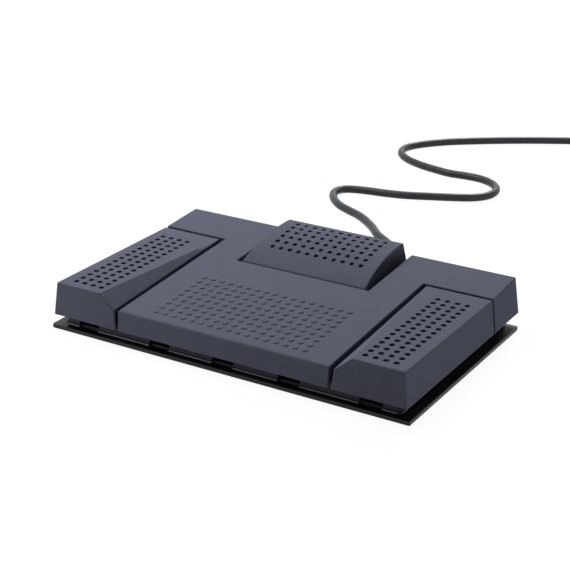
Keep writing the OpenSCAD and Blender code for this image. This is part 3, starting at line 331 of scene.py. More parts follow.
def grained_plastic(name, dark, light, grain_mm, grain_depth, roughness, gloss, painted_highlight=None):
    """A moulded plastic: its eroded grain scatters the light, so it looks matte and slightly mottled.

    A real grain is about 0.2 mm. It is drawn coarser here, because it wouldn't show at that size, over a
    faint cloudiness. Where a highlight colour is given, the chassis lip's outer edge is painted in that
    paler colour: a painted highlight for the light that edge catches.
    """
    material, tree = new_finish(name)
    place = node(tree, "ShaderNodeTexCoord").outputs["Object"]
    cloud = node(tree, "ShaderNodeTexNoise",
                 {"Vector": place, "Scale": 1 / (CLOUD_MM * MM), "Detail": 3.0})
    grain = node(tree, "ShaderNodeTexNoise",
                 {"Vector": place, "Scale": 1 / (grain_mm * MM), "Detail": 2.0})
    faint = node(tree, "ShaderNodeMapRange", {0: cloud.outputs["Fac"], 1: NOISE_LOW, 2: NOISE_HIGH,
                                              3: 0.0, 4: CLOUD_SHARE})
    tone = node(tree, "ShaderNodeMath",
                {0: grain.outputs["Fac"], 1: 1 - CLOUD_SHARE, 2: faint.outputs[0]},
                operation="MULTIPLY_ADD")
    colour = node(tree, "ShaderNodeMix", {0: tone.outputs[0], 6: linear(dark), 7: linear(light)},
                  data_type="RGBA").outputs[2]
    rough = node(tree, "ShaderNodeMapRange", {0: grain.outputs["Fac"], 1: NOISE_LOW, 2: NOISE_HIGH,
                                              3: roughness - 0.06, 4: roughness + 0.06})
    bump = node(tree, "ShaderNodeBump", {"Height": grain.outputs["Fac"], "Strength": 1.0,
                                         "Distance": grain_depth * MM})
    # Painted highlight: the lip's outer edge, at the sides and in front, is coloured paler as if it caught
    # the light
    if painted_highlight:
        at = node(tree, "ShaderNodeSeparateXYZ", {"Vector": place})
        aside = node(tree, "ShaderNodeMath", {0: at.outputs["X"]}, operation="ABSOLUTE")
        side = node(tree, "ShaderNodeMapRange",
                    {0: aside.outputs[0], 1: LIP_X * MM, 2: (LIP_X + LIP_FADE) * MM})
        front = node(tree, "ShaderNodeMapRange",
                     {0: at.outputs["Y"], 1: LIP_Y * MM, 2: (LIP_Y - LIP_FADE) * MM})
        highlight_share = node(tree, "ShaderNodeMath", {0: side.outputs[0], 1: front.outputs[0]},
                    operation="MAXIMUM")
        colour = node(tree, "ShaderNodeMix", {0: highlight_share.outputs[0], 6: colour, 7: linear(painted_highlight)},
                      data_type="RGBA").outputs[2]
    shader = node(tree, "ShaderNodeBsdfPrincipled",
                  {"Base Color": colour, "Roughness": rough.outputs[0], "IOR": 1.53,
                   "Specular IOR Level": gloss, "Normal": bump.outputs[0]})
    node(tree, "ShaderNodeOutputMaterial", {"Surface": shader.outputs["BSDF"]})
    return material


def plain_metal(name, dark, light, streak_mm, roughness):
    """A bare or plated metal: bright, with fine drawn scratches that spread its highlights.

    The scratches are wider than real ones, which wouldn't show.
    """
    material, tree = new_finish(name)
    place = node(tree, "ShaderNodeTexCoord").outputs["Object"]
    stretch = node(tree, "ShaderNodeMapping", {"Vector": place, "Scale": (1.0, 0.2, 1.0)})
    streak = node(tree, "ShaderNodeTexNoise", {"Vector": stretch.outputs[0], "Scale": 1 / (streak_mm * MM),
                                               "Detail": 4.0})
    colour = node(tree, "ShaderNodeMix", {0: streak.outputs["Fac"], 6: linear(dark), 7: linear(light)},
                  data_type="RGBA")
    rough = node(tree, "ShaderNodeMapRange", {0: streak.outputs["Fac"], 1: NOISE_LOW, 2: NOISE_HIGH,
                                              3: roughness - 0.08, 4: roughness + 0.08})
    bump = node(tree, "ShaderNodeBump", {"Height": streak.outputs["Fac"], "Distance": 0.01 * MM})
    shader = node(tree, "ShaderNodeBsdfPrincipled",
                  {"Base Color": colour.outputs[2], "Metallic": 1.0, "Roughness": rough.outputs[0],
                   "Normal": bump.outputs[0]})
    node(tree, "ShaderNodeOutputMaterial", {"Surface": shader.outputs["BSDF"]})
    return material


def coated_steel():
    """Powder-coated steel sheet: satin black with the shallow waves of a baked coat and a little dust."""
    material, tree = new_finish("powder_coated_steel_black")
    place = node(tree, "ShaderNodeTexCoord").outputs["Object"]
    waves = node(tree, "ShaderNodeTexNoise", {"Vector": place, "Scale": 1 / (1.6 * MM), "Detail": 1.0})
    dust = node(tree, "ShaderNodeTexNoise", {"Vector": place, "Scale": 1 / (30 * MM), "Detail": 5.0})
    colour = node(tree, "ShaderNodeMix",
                  {0: dust.outputs["Fac"], 6: linear("#0b0b0d"), 7: linear("#141417")}, data_type="RGBA")
    rough = node(tree, "ShaderNodeMapRange", {0: dust.outputs["Fac"], 1: NOISE_LOW, 2: NOISE_HIGH,
                                              3: 0.34, 4: 0.46})
    bump = node(tree, "ShaderNodeBump", {"Height": waves.outputs["Fac"], "Distance": 0.02 * MM})
    shader = node(tree, "ShaderNodeBsdfPrincipled",
                  {"Base Color": colour.outputs[2], "Roughness": rough.outputs[0], "IOR": 1.5,
                   "Specular IOR Level": 0.24, "Normal": bump.outputs[0]})
    node(tree, "ShaderNodeOutputMaterial", {"Surface": shader.outputs["BSDF"]})
    return material


def cord_jacket():
    """Extruded soft PVC: satin blue-grey, with the uneven skin and smudges of a handled lead.

    The skin's unevenness is drawn coarser than the real one, which wouldn't show.
    """
    material, tree = new_finish("soft_pvc_grey")
    place = node(tree, "ShaderNodeTexCoord").outputs["Object"]
    smudge = node(tree, "ShaderNodeTexNoise", {"Vector": place, "Scale": 1 / (9 * MM), "Detail": 4.0})
    skin = node(tree, "ShaderNodeTexNoise", {"Vector": place, "Scale": 1 / (0.8 * MM), "Detail": 2.0})
    colour = node(tree, "ShaderNodeMix",
                  {0: smudge.outputs["Fac"], 6: linear("#23292e"), 7: linear("#333b42")}, data_type="RGBA")
    rough = node(tree, "ShaderNodeMapRange", {0: smudge.outputs["Fac"], 1: NOISE_LOW, 2: NOISE_HIGH,
                                              3: 0.3, 4: 0.44})
    bump = node(tree, "ShaderNodeBump", {"Height": skin.outputs["Fac"], "Distance": 0.02 * MM})
    shader = node(tree, "ShaderNodeBsdfPrincipled",
                  {"Base Color": colour.outputs[2], "Roughness": rough.outputs[0], "IOR": 1.52,
                   "Specular IOR Level": 0.3, "Normal": bump.outputs[0]})
    node(tree, "ShaderNodeOutputMaterial", {"Surface": shader.outputs["BSDF"]})
    return material


def board_laminate():
    """Glass-filled epoxy under green solder mask: paler lines where copper tracks lie beneath."""
    material, tree = new_finish("solder_masked_laminate")
    place = node(tree, "ShaderNodeTexCoord").outputs["Object"]
    cells = node(tree, "ShaderNodeTexBrick", {"Vector": place, "Scale": 1 / (6 * MM), "Mortar Size": 0.06,
                                              "Color1": (0, 0, 0, 1), "Color2": (0, 0, 0, 1),
                                              "Mortar": (1, 1, 1, 1)})
    colour = node(tree, "ShaderNodeMix",
                  {0: cells.outputs["Fac"], 6: linear("#1a4d30"), 7: linear("#2c6b45")}, data_type="RGBA")
    bump = node(tree, "ShaderNodeBump", {"Height": cells.outputs["Fac"], "Distance": 0.03 * MM})
    shader = node(tree, "ShaderNodeBsdfPrincipled",
                  {"Base Color": colour.outputs[2], "Roughness": 0.3, "IOR": 1.55,
                   "Normal": bump.outputs[0]})
    node(tree, "ShaderNodeOutputMaterial", {"Surface": shader.outputs["BSDF"]})
    return material


# Each finish by the record's slot: its darkest and lightest colour, the size of its grain or scratches in
# millimetres, the depth of a grain, its roughness, and a plastic's gloss
FINISHES = {
    # Textured shells: matte blue-grey, with hardly a highlight
    "housing_plastic": grained_plastic("grained_abs_slate", "#565969", "#6a6d7f", 0.8, 0.05, 0.7, 0.08),
    # Smoother and near black under the shells, with a painted highlight: a pale line along its lip
    "chassis_plastic": grained_plastic("grained_abs_charcoal", "#252229", "#302d35", 0.8, 0.04, 0.5, 0.14,
                                       "#8a8690"),
    # Dead matte black that takes the light softly
    "foot_rubber": grained_plastic("moulded_rubber_black", "#1c1c1d", "#262627", 0.6, 0.05, 0.8, 0.2),
    # Hard black with a low sheen from its glass filling
    "switch_case": grained_plastic("filled_nylon_black", "#161618", "#222226", 0.5, 0.02, 0.45, 0.4),
    # Slippery, waxy red
    "plunger_red": grained_plastic("acetal_red", "#a32a24", "#b8352d", 0.5, 0.01, 0.35, 0.5),
    # Dull black with a sandy skin
    "chip_resin": grained_plastic("moulding_resin_black", "#121214", "#1d1d20", 0.4, 0.02, 0.6, 0.3),
    # Tight, shiny dark blue film
    "sleeve_plastic": grained_plastic("shrink_sleeve_blue", "#1b2a42", "#263a58", 0.5, 0.01, 0.35, 0.5),
    # Milky off-white with a soft sheen
    "ivory_plastic": grained_plastic("nylon_ivory", "#d8d3c4", "#e8e4d8", 0.5, 0.01, 0.45, 0.45),
    # Soft satin grey of thin insulation
    "wire_pvc": grained_plastic("wire_pvc_charcoal", "#2f2f33", "#424247", 0.5, 0.01, 0.45, 0.4),
    # Dry black with a coarse surface
    "tie_plastic": grained_plastic("tie_strap_black", "#222426", "#303336", 0.7, 0.06, 0.7, 0.25),
    # Satin charcoal, moulded over the end of the lead
    "plug_plastic": grained_plastic("overmoulded_pvc_charcoal", "#2a2e31", "#3a3f43", 0.6, 0.03, 0.5, 0.35),
    # Clean white with a slight shine
    "white_plastic": grained_plastic("insulator_white", "#dddbd4", "#eeece6", 0.5, 0.01, 0.4, 0.45),
    "base_steel": coated_steel(),
    "board_laminate": board_laminate(),
    "cord_pvc": cord_jacket(),
    # Cool silver of plated screws and pins
    "bright_steel": plain_metal("zinc_plated_steel", "#a9abad", "#c8cacc", 0.4, 0.3),
    # Darker grey drawn wire with a sharp glint
    "spring_steel": plain_metal("spring_steel_wire", "#8f9194", "#b4b6b9", 0.3, 0.28),
    # Smoky near-black with a metal's highlight
    "black_steel": plain_metal("black_zinc_steel", "#2a2a2d", "#3d3d41", 0.4, 0.4),
    # Warm yellow with a rolled sheen
    "terminal_brass": plain_metal("rolled_brass", "#b18b3c", "#d0ab5c", 0.3, 0.3),
    # Bright and smooth from the die
    "can_metal": plain_metal("drawn_steel_can", "#b9bbbd", "#d6d8da", 0.5, 0.25),
    # Bright, with nickel's warm cast
    "plug_steel": plain_metal("nickel_plated_steel", "#b4b2ad", "#d2d0cb", 0.5, 0.22),
}


def piece(name, bm, body, slot, replaced):
    """Turns a shape into a piece of the scene, in metres, with its finish and the body it rides on."""
    bmesh.ops.scale(bm, vec=(MM, MM, MM), verts=bm.verts)
    mesh = bpy.data.meshes.new(name)
    bm.to_mesh(mesh)
    bm.free()
    mesh.materials.append(FINISHES[slot])
    mesh.shade_smooth()
    mesh.set_sharp_from_angle(angle=math.radians(50))
    made = bpy.data.objects.new(name, mesh)
    bpy.context.scene.collection.objects.link(made)
    made.modifiers.new("even_light", "WEIGHTED_NORMAL").keep_sharp = True
    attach(made, body)
    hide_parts(*replaced)
    return made


def side_x(z):
    """Where the drafted right wall stands at a height, as front_y and rear_y say for front and rear."""
    return SKIRT_X - (z - SKIRT_Z) * SIDE_LEAN


def front_y(z):
    return -SKIRT_Y + (z - SKIRT_Z) * FRONT_LEAN


def rear_y(z):
    return SKIRT_Y - (z - SKIRT_Z) * REAR_LEAN


DECK_FRONT = front_y(DECK_FRONT_Z)
DECK_REAR = rear_y(DECK_REAR_Z)
DECK_RISE = (DECK_REAR_Z - DECK_FRONT_Z) / (DECK_REAR - DECK_FRONT)
PEDAL_OUT = side_x(PEDAL_Z)
PEDAL_MID = (PEDAL_IN + PEDAL_OUT) / 2


def deck_z(y):
    """Height of the sloping deck's top."""
    return DECK_FRONT_Z + (y - DECK_FRONT) * DECK_RISE


def plate(xs, ys):
    """A flat sheet of faces with its edges on the given lines."""
    bm = bmesh.new()
    bm.faces.layers.int.new("spot")
    bmesh.ops.create_grid(bm, x_segments=len(xs) - 1, y_segments=len(ys) - 1, size=1)
    for v in bm.verts:
        i = round((v.co.x + 1) / 2 * (len(xs) - 1))
        j = round((v.co.y + 1) / 2 * (len(ys) - 1))
        v.co = (xs[i], ys[j], 0)
    return bm


def round_spots(bm, corners, radius):
    """Opens a round face at each of the given corners of a sheet, and marks it."""
    made = bmesh.ops.bevel(bm, geom=corners, offset=radius, offset_type="OFFSET", segments=1, profile=0.5,
                           affect="VERTICES", material=-1)
    spots = made["faces"]
    rims = {edge for spot in spots for edge in spot.edges}
    # A rim starts with four edges and gets sixteen
    bmesh.ops.bisect_edges(bm, edges=list(rims), cuts=3)
    mark = bm.faces.layers.int["spot"]
    along = Vector((1, 0, 0))
    for spot in spots:
        spot[mark] = 1
        spot.normal_update()
        middle = spot.calc_center_median()
        across = spot.normal.cross(along)
        ring = list(spot.verts)
        first = max(range(len(ring)), key=lambda k: (ring[k].co - middle).dot(along))
        for k in range(len(ring)):
            angle = 2 * math.pi * k / len(ring)
            out = along * math.cos(angle) + across * math.sin(angle)
            ring[(first + k) % len(ring)].co = middle + radius * out


def sink_spots(bm, radius):
    """Sinks each marked face that looks up into a small bowl with a softened rim."""
    mark = bm.faces.layers.int["spot"]
    spots = [f for f in bm.faces if f[mark] and f.normal.z > 0.3]
    ring, deep = DIMPLE_RIM, 0.0
    for next_ring, next_deep in BOWL_RINGS:
        bmesh.ops.inset_individual(bm, faces=spots, thickness=(ring - next_ring) * radius,
                                   depth=(deep - next_deep) * radius, use_even_offset=True)
        ring, deep = next_ring, next_deep


def drop_walls(bm, edges, foot):
    """Draws walls down from open edges to where foot() puts them."""
    made = bmesh.ops.extrude_edge_only(bm, edges=edges)
    for v in made["geom"]:
        if isinstance(v, bmesh.types.BMVert):
            v.co = foot(v.co)


def open_edges(bm, test=lambda edge: True):
    return [e for e in bm.edges if e.is_boundary and test(e)]


def round_edges(bm, edges, radius, segments=3):
    bmesh.ops.bevel(bm, geom=edges, offset=radius, offset_type="OFFSET", segments=segments, profile=0.5,
                    affect="EDGES", material=-1, clamp_overlap=False)


def sharp_edges(bm, test=lambda edge: True):
    bm.normal_update()
    return [e for e in bm.edges if len(e.link_faces) == 2 and e.calc_face_angle() > FOLD and test(e)]


def thicken(bm):
    """Gives a sheet the moulding's wall, on its inner side."""
    bmesh.ops.recalc_face_normals(bm, faces=bm.faces)
    top = max(bm.faces, key=lambda f: f.calc_center_median().z)
    if top.normal.z < 0:
        bmesh.ops.reverse_faces(bm, faces=bm.faces)
    bmesh.ops.solidify(bm, geom=bm.faces[:], thickness=WALL)


def block(bm, low, high):
    low, high = Vector(low), Vector(high)
    bmesh.ops.create_cube(bm, size=1, matrix=Matrix.LocRotScale((low + high) / 2, None, high - low))


def post(bm, x, y, z0, z1, radius):
    bmesh.ops.create_cone(bm, cap_ends=True, segments=24, radius1=radius, radius2=radius, depth=z1 - z0,
                          matrix=Matrix.Translation((x, y, (z0 + z1) / 2)))


def latch(bm, x):
    """The tongue of a front wall that catches in a window of the chassis."""
    block(bm, (x - LATCH_HALF, LATCH_Y[0], LATCH_Z[0]), (x + LATCH_HALF, LATCH_Y[1], LATCH_Z[1]))


def lug(bm, x0, y, z, top):
    """A hinge lug: a ring round the pin and the web that hangs it from the shell."""
    ring = bmesh.ops.create_grid(bm, x_segments=1, y_segments=1, size=0.5)["verts"]
    for v in ring:
        v.co = (x0 + LUG_T * (v.co.x + 0.5), y + PIN_R + (EYE_R - PIN_R) * (v.co.y + 0.5), z)
    faces = list({f for v in ring for f in v.link_faces})
    edges = list({e for v in ring for e in v.link_edges})
    bmesh.ops.delete(bm, geom=faces, context="FACES_ONLY")
    made = bmesh.ops.spin(bm, geom=ring + edges, cent=(x0, y, z), axis=(1, 0, 0), angle=2 * math.pi,
                          steps=32, use_merge=True)
    # The ring stands apart from the shell, so its faces are reached from its own last loop
    rim = {f for v in made["geom_last"] if isinstance(v, bmesh.types.BMVert) for f in v.link_faces}
    island = set(rim)
    while rim:
        rim = {g for f in rim for e in f.edges for g in e.link_faces} - island
        island |= rim
    bmesh.ops.recalc_face_normals(bm, faces=list(island))
    block(bm, (x0, y - EYE_R, z + EYE_R - LUG_ROOT), (x0 + LUG_T, y + EYE_R, top))


def dimple_lines(first, count):
    """The lines of a row of dimples, one pitch apart."""
    return [first + PITCH * k for k in range(count)]


def chamfer_x(y):
    """Where the top face of the right pedal meets its inner chamfer."""
    run = PEDAL_REAR + CHAMFER_RUN
    return PEDAL_IN + CHAMFER_W * (run - y) / (run + SKIRT_Y)


def pedal_foot(co):
    """Lower edge of a side pedal's walls, below a point of its upper rim."""
    at_front = co.y < front_y(PEDAL_Z) + NEAR
    at_side = co.x > PEDAL_OUT - NEAR
    x = SKIRT_X if at_side else co.x
    if at_front and co.x < PEDAL_IN + NEAR:
        x = PEDAL_IN - FRONT_FLARE
    if at_front or at_side:
        return Vector((x, -SKIRT_Y if at_front else co.y, SKIRT_Z))
    # The inner wall ends above the chassis rim even when the pedal is down
    return Vector((co.x, co.y, RIM_Z + RIM_CLEAR + max(HINGE_Y - co.y, 0) * math.sin(SIDE_TRAVEL)))


def pedal_ribs(bm):
    """Under a side pedal: hinge lugs, the switch's presser, a stop, the spring's guide, ribs and a latch."""
    under = PEDAL_Z - WALL + ROOT
    for x in (PEDAL_MID - LUG_OUT, PEDAL_MID + LUG_OUT - LUG_T):
        lug(bm, x, HINGE_Y, HINGE_Z, under)
    for (half_x, half_y), y, z in ((PRESSER_HALF, SWITCH_Y, PRESSER_Z), (STOP_HALF, BUMPER_Y, STOP_Z)):
        block(bm, (PEDAL_MID - half_x, y - half_y, z), (PEDAL_MID + half_x, y + half_y, under))
    post(bm, PEDAL_MID, SPRING_Y, RIB_Z, under, GUIDE_R)
    for y in RIB_LINES:
        block(bm, (chamfer_x(y) + RIB_GAP, y - RIB_HALF, RIB_Z),
              (side_x(RIB_Z) - WALL + RIB_ROOT, y + RIB_HALF, under))
    latch(bm, PEDAL_LATCH_X)


def side_pedal(name, side):
    """A side pedal: a drafted shell with a chamfer that runs out to the rear, and a field of dimples."""
    columns = dimple_lines(PEDAL_OUT - DIMPLE_INSET - PITCH * (DIMPLE_COLS - 1) / 2, DIMPLE_COLS)
    rows = dimple_lines(DIMPLE_Y, DIMPLE_ROWS)
    bm = plate([PEDAL_IN, *columns, PEDAL_OUT], [front_y(PEDAL_Z), RIM_Y, *rows, PEDAL_REAR])
    bmesh.ops.translate(bm, vec=(0, 0, PEDAL_Z), verts=bm.verts)
    dimples = [v for v in bm.verts if len(v.link_edges) == 4 and v.co.y > rows[0] - NEAR]
    round_spots(bm, dimples, DIMPLE_RIM * DIMPLE_R)

    run = Vector((CHAMFER_W, -SKIRT_Y - PEDAL_REAR - CHAMFER_RUN, 0))
    bmesh.ops.bisect_plane(bm, geom=bm.verts[:] + bm.edges[:] + bm.faces[:],
                           plane_co=(PEDAL_IN, PEDAL_REAR + CHAMFER_RUN, PEDAL_Z),
                           plane_no=(-run.y, run.x, 0))
    for v in bm.verts:
        v.co.z -= max(chamfer_x(v.co.y) - v.co.x, 0) * CHAMFER_H / CHAMFER_W
        if v.co.y < RIM_Y - NEAR:
            v.co.y = front_y(v.co.z)
    walls = open_edges(bm, lambda e: min(v.co.y for v in e.verts) < PEDAL_REAR - NEAR)
    drop_walls(bm, walls, pedal_foot)

    def along_chamfer(edge):
        a, b = (v.co for v in edge.verts)
        lengthwise = abs(a.y - b.y) > 2 * abs(a.z - b.z) + abs(a.x - b.x)
        return max(a.x, b.x) < chamfer_x(-SKIRT_Y) + NEAR and lengthwise

    def crease(edge):
        return along_chamfer(edge) and max(v.co.y for v in edge.verts) < CHAMFER_EDGE_END
    round_edges(bm, sharp_edges(bm, lambda e: not along_chamfer(e)), EDGE_R)
    round_edges(bm, sharp_edges(bm, crease), CHAMFER_EDGE_R, 2)
    thicken(bm)
    sink_spots(bm, DIMPLE_R)
    pedal_ribs(bm)
    if side < 0:
        bmesh.ops.scale(bm, vec=(-1, 1, 1), verts=bm.verts)
        bmesh.ops.reverse_faces(bm, faces=bm.faces)
    piece(name + "_shell", bm, name, "housing_plastic", [name])


def tread_z(y):
    """Height of the rear tread's top."""
    return TREAD_Z - TREAD_R + math.sqrt(TREAD_R ** 2 - (y - TREAD_Y) ** 2)


def rear_pedal():
    """The rear pedal: a tread bent to one radius, between drafted sides, with a field of dimples."""
    step = PITCH / TREAD_R
    rows = [TREAD_Y - TREAD_R * math.sin(step * k) for k in range(TREAD_ROWS)]
    columns = dimple_lines(-PITCH * (REAR_DIMPLE_COLS - 1) / 2, REAR_DIMPLE_COLS)
    bm = plate([-REAR_TOP_X, *columns, REAR_TOP_X], [REAR_FRONT, *reversed(rows), TREAD_REAR])
    for v in bm.verts:
        v.co.z = tread_z(v.co.y)
        if abs(v.co.x) > REAR_TOP_X - NEAR:
            v.co.x = math.copysign(REAR_TOP_X + (TREAD_Z - v.co.z) * REAR_SIDE_LEAN, v.co.x)
    bm.normal_update()
    last_row = rows[REAR_DIMPLE_ROWS - 1]
    dimples = [v for v in bm.verts if len(v.link_edges) == 4 and v.co.y > last_row - NEAR]
    round_spots(bm, dimples, DIMPLE_RIM * REAR_DIMPLE_R)

    def rim(co):
        drop = TREAD_Z - REAR_RIM_Z
        x, y = co.x, co.y
        if abs(x) > REAR_TOP_X - NEAR:
            x = math.copysign(REAR_TOP_X + drop * REAR_SIDE_LEAN, x)
        if y > TREAD_REAR - NEAR:
            y = TREAD_REAR + drop * REAR_LEAN
        return Vector((x, y, REAR_RIM_Z))
    drop_walls(bm, open_edges(bm), rim)
    round_edges(bm, sharp_edges(bm), REAR_EDGE_R)
    thicken(bm)
    sink_spots(bm, REAR_DIMPLE_R)

    # Under the tread: hinge lugs, the spring's boss and guide, the switch's presser and two stops
    under = WALL - ROOT
    for x in (-REAR_LUG_X, REAR_LUG_X - LUG_T):
        lug(bm, x, REAR_HINGE_Y, REAR_HINGE_Z, tread_z(REAR_HINGE_Y - EYE_R) - under)
    post(bm, 0, REAR_SPRING_Y, REAR_BOSS_Z, tread_z(REAR_SPRING_Y) - under, REAR_BOSS_R)
    post(bm, 0, REAR_SPRING_Y, *REAR_GUIDE_Z, REAR_GUIDE_R)
    presser_top = tread_z(REAR_PRESSER_Y[0]) - under
    block(bm, (REAR_PRESSER_X[0], REAR_PRESSER_Y[0], PRESSER_Z),
          (REAR_PRESSER_X[1], REAR_PRESSER_Y[1], presser_top))
    for x in (-REAR_STOP_X, REAR_STOP_X):
        post(bm, x, REAR_STOP_Y, REAR_STOP_Z, tread_z(REAR_STOP_Y) - under, REAR_STOP_R)
    piece("rear_pedal_shell", bm, "rear_pedal", "housing_plastic", ["rear_pedal"])


def deck_bump(bm, x, y):
    """A low round stud with a softened crown, sunk a little into the deck."""
    made = bmesh.ops.create_circle(bm, cap_ends=True, segments=16, radius=BUMP_R)
    base = made["verts"][0].link_faces[0]
    top = base
    studs = set(made["verts"])
    for ring, climb in BUMP_RINGS:
        grown = bmesh.ops.extrude_face_region(bm, geom=[top])["geom"]
        if top is not base:
            bmesh.ops.delete(bm, geom=[top], context="FACES_ONLY")
        top = next(g for g in grown if isinstance(g, bmesh.types.BMFace))
        for v in top.verts:
            out = Vector((v.co.x, v.co.y, 0)).normalized()
            v.co = out * BUMP_R * ring + Vector((0, 0, v.co.z + climb))
        studs |= set(top.verts)
    bmesh.ops.recalc_face_normals(bm, faces=list({f for v in studs for f in v.link_faces}))
    lean = Matrix.Rotation(math.atan(DECK_RISE), 4, "X")
    at = Matrix.Translation((x, y, deck_z(y)))
    bmesh.ops.transform(bm, matrix=at @ lean @ Matrix.Translation((0, 0, -BUMP_SINK)), verts=list(studs))


def cover_arch(bm):
    """Closes the rear wall under the notch, with an arch over the cord's boot."""
    def beside_notch(edge):
        on_side = all(abs(abs(v.co.x) - NOTCH_X) < NEAR for v in edge.verts)
        return on_side and all(v.co.y > rear_y(BRIDGE_Z) - NEAR for v in edge.verts)
    bmesh.ops.bridge_loops(bm, edges=open_edges(bm, beside_notch))

    def under_notch(edge):
        a, b = (v.co for v in edge.verts)
        return abs(a.x - b.x) > 2 * NOTCH_X - NEAR and max(a.z, b.z) < SKIRT_Z + NEAR and a.y > 0
    made = bmesh.ops.bisect_edges(bm, edges=open_edges(bm, under_notch), cuts=ARCH_POINTS)
    arch = [v for v in made["geom_split"] if isinstance(v, bmesh.types.BMVert)]
    arch.sort(key=lambda v: v.co.x)
    exit_x, exit_z = CORD_EXIT[0] / MM, CORD_EXIT[2] / MM
    foot = math.asin((SKIRT_Z - exit_z) / ARCH_R)
    for k, v in enumerate(arch):
        angle = math.pi - foot - (math.pi - 2 * foot) * k / (len(arch) - 1)
        z = exit_z + ARCH_R * math.sin(angle)
        v.co = (exit_x + ARCH_R * math.cos(angle), rear_y(z), z)


def top_cover():
    """The cover: the sloping deck with its studs, and the bar behind the side pedals, in one moulding."""
    bm = plate([-SKIRT_X, -DECK_X, -NOTCH_X, NOTCH_X, DECK_X, SKIRT_X],
               [DECK_FRONT, RIM_Y, NOTCH_Y, BAR_Y, DECK_REAR])
    spare = []
    for f in bm.faces:
        at = f.calc_center_median()
        if (abs(at.x) > DECK_X and at.y < BAR_Y) or (abs(at.x) < NOTCH_X and at.y > NOTCH_Y):
            spare.append(f)
    bmesh.ops.delete(bm, geom=spare, context="FACES")
    for v in bm.verts:
        v.co.z = deck_z(v.co.y)
        if abs(v.co.x) > DECK_X + NEAR:
            v.co.x = math.copysign(side_x(v.co.z), v.co.x)

    def wall_at(z, low_z):
        def foot(co):
            x, y, level = co.x, co.y, low_z
            if y < DECK_FRONT + NEAR:
                y, level = front_y(z), z
            if abs(x) > DECK_X + NEAR:
                x, level = math.copysign(side_x(z), x), z
            if y > DECK_REAR - NEAR:
                y, level = rear_y(z), z
            return Vector((x, y, level))
        return foot
    drop_walls(bm, open_edges(bm), wall_at(BRIDGE_Z, BRIDGE_Z))

    def in_notch(edge):
        return all(abs(v.co.x) < NOTCH_X + NEAR and v.co.y > NOTCH_Y - NEAR for v in edge.verts)
    drop_walls(bm, open_edges(bm, lambda e: not in_notch(e)), wall_at(SKIRT_Z, RIM_Z))
    cover_arch(bm)
    bmesh.ops.recalc_face_normals(bm, faces=bm.faces)

    def on_nose(edge):
        return all(v.co.y < DECK_FRONT + NEAR and v.co.z > DECK_FRONT_Z - NEAR for v in edge.verts)
    round_edges(bm, sharp_edges(bm, on_nose), DECK_NOSE_R, 5)
    round_edges(bm, sharp_edges(bm), EDGE_R)
    thicken(bm)
    for x, y in COVER_SCREWS:
        for side in (-1, 1):
            post(bm, side * x, y, CHASSIS_FLOOR_Z, deck_z(y) - WALL + ROOT, BOSS_R)
    for x in (-LATCH_X, 0, LATCH_X):
        latch(bm, x)
    for i in range(BUMP_COLS):
        for j in range(BUMP_ROWS):
            deck_bump(bm, PITCH * (i - (BUMP_COLS - 1) / 2), BUMP_Y + PITCH * j)
    piece("cover_shell", bm, "housing", "housing_plastic", ["top_cover"])


def return_spring(name, x, y, z):
    """A coiled spring standing on its seat."""
    bm = bmesh.new()
    made = bmesh.ops.create_circle(bm, segments=8, radius=SPRING_WIRE_R,
                                   matrix=Matrix.Rotation(math.pi / 2, 4, "X"))
    bmesh.ops.translate(bm, vec=(SPRING_R, 0, SPRING_WIRE_R), verts=made["verts"])
    steps = SPRING_TURNS * SPRING_STEPS
    climb = (SPRING_H - 2 * SPRING_WIRE_R) / steps
    bmesh.ops.spin(bm, geom=bm.verts[:] + bm.edges[:], cent=(0, 0, 0), axis=(0, 0, 1), dvec=(0, 0, climb),
                   angle=2 * math.pi * SPRING_TURNS, steps=steps)
    bmesh.ops.holes_fill(bm, edges=open_edges(bm), sides=0)
    bmesh.ops.recalc_face_normals(bm, faces=bm.faces)
    bmesh.ops.translate(bm, vec=(x, y, z), verts=bm.verts)
    spring = piece(name + "_coil", bm, "housing", "spring_steel", [name])
    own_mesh(spring)


def softened(name, width):
    """A CAD node of the housing with its sharp edges eased."""
    bm = bmesh.new()
    bm.from_mesh(nodes[name].data)
    bmesh.ops.remove_doubles(bm, verts=bm.verts, dist=0.00001)
    bmesh.ops.dissolve_limit(bm, angle_limit=math.radians(1), verts=bm.verts, edges=bm.edges)
    bmesh.ops.scale(bm, vec=(1 / MM, 1 / MM, 1 / MM), verts=bm.verts)
    made = piece(name + "_eased", bm, "housing", NODE_SLOTS[name], [name])
    ease = made.modifiers.new("eased_edges", "BEVEL")
    ease.limit_method = "ANGLE"
    ease.angle_limit = math.radians(40)
    ease.width = width * MM
    ease.segments = 2
    # The edges are eased before the normals are weighted
    made.modifiers.move(1, 0)
    return made


def cord_piece(line):
    """The cord, its coil and its tail as one round lead along the line."""
    data = bpy.data.curves.new("signal_cord", "CURVE")
    data.dimensions = "3D"
    spline = data.splines.new("POLY")
    spline.points.add(len(line) - 1)
    for point, at in zip(spline.points, line):
        point.co = (*at, 1)
    data.bevel_depth = CORD_R
    data.bevel_resolution = 5
    data.use_fill_caps = True
    data.materials.append(FINISHES["cord_pvc"])
    made = bpy.data.objects.new("signal_cord", data)
    bpy.context.scene.collection.objects.link(made)
    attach(made, "housing")
    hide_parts("cord", "cord_coil", "cord_tail")
    return made


def looked_at(tree):
    """One where the camera, a reflection or a view through glass looks, and nought for other light."""
    rays = node(tree, "ShaderNodeLightPath").outputs
    looked = node(tree, "ShaderNodeMath", {0: rays["Is Camera Ray"], 1: rays["Is Glossy Ray"]},
                  operation="MAXIMUM")
    return node(tree, "ShaderNodeMath", {0: looked.outputs[0], 1: rays["Is Transmission Ray"]},
                operation="MAXIMUM").outputs[0]


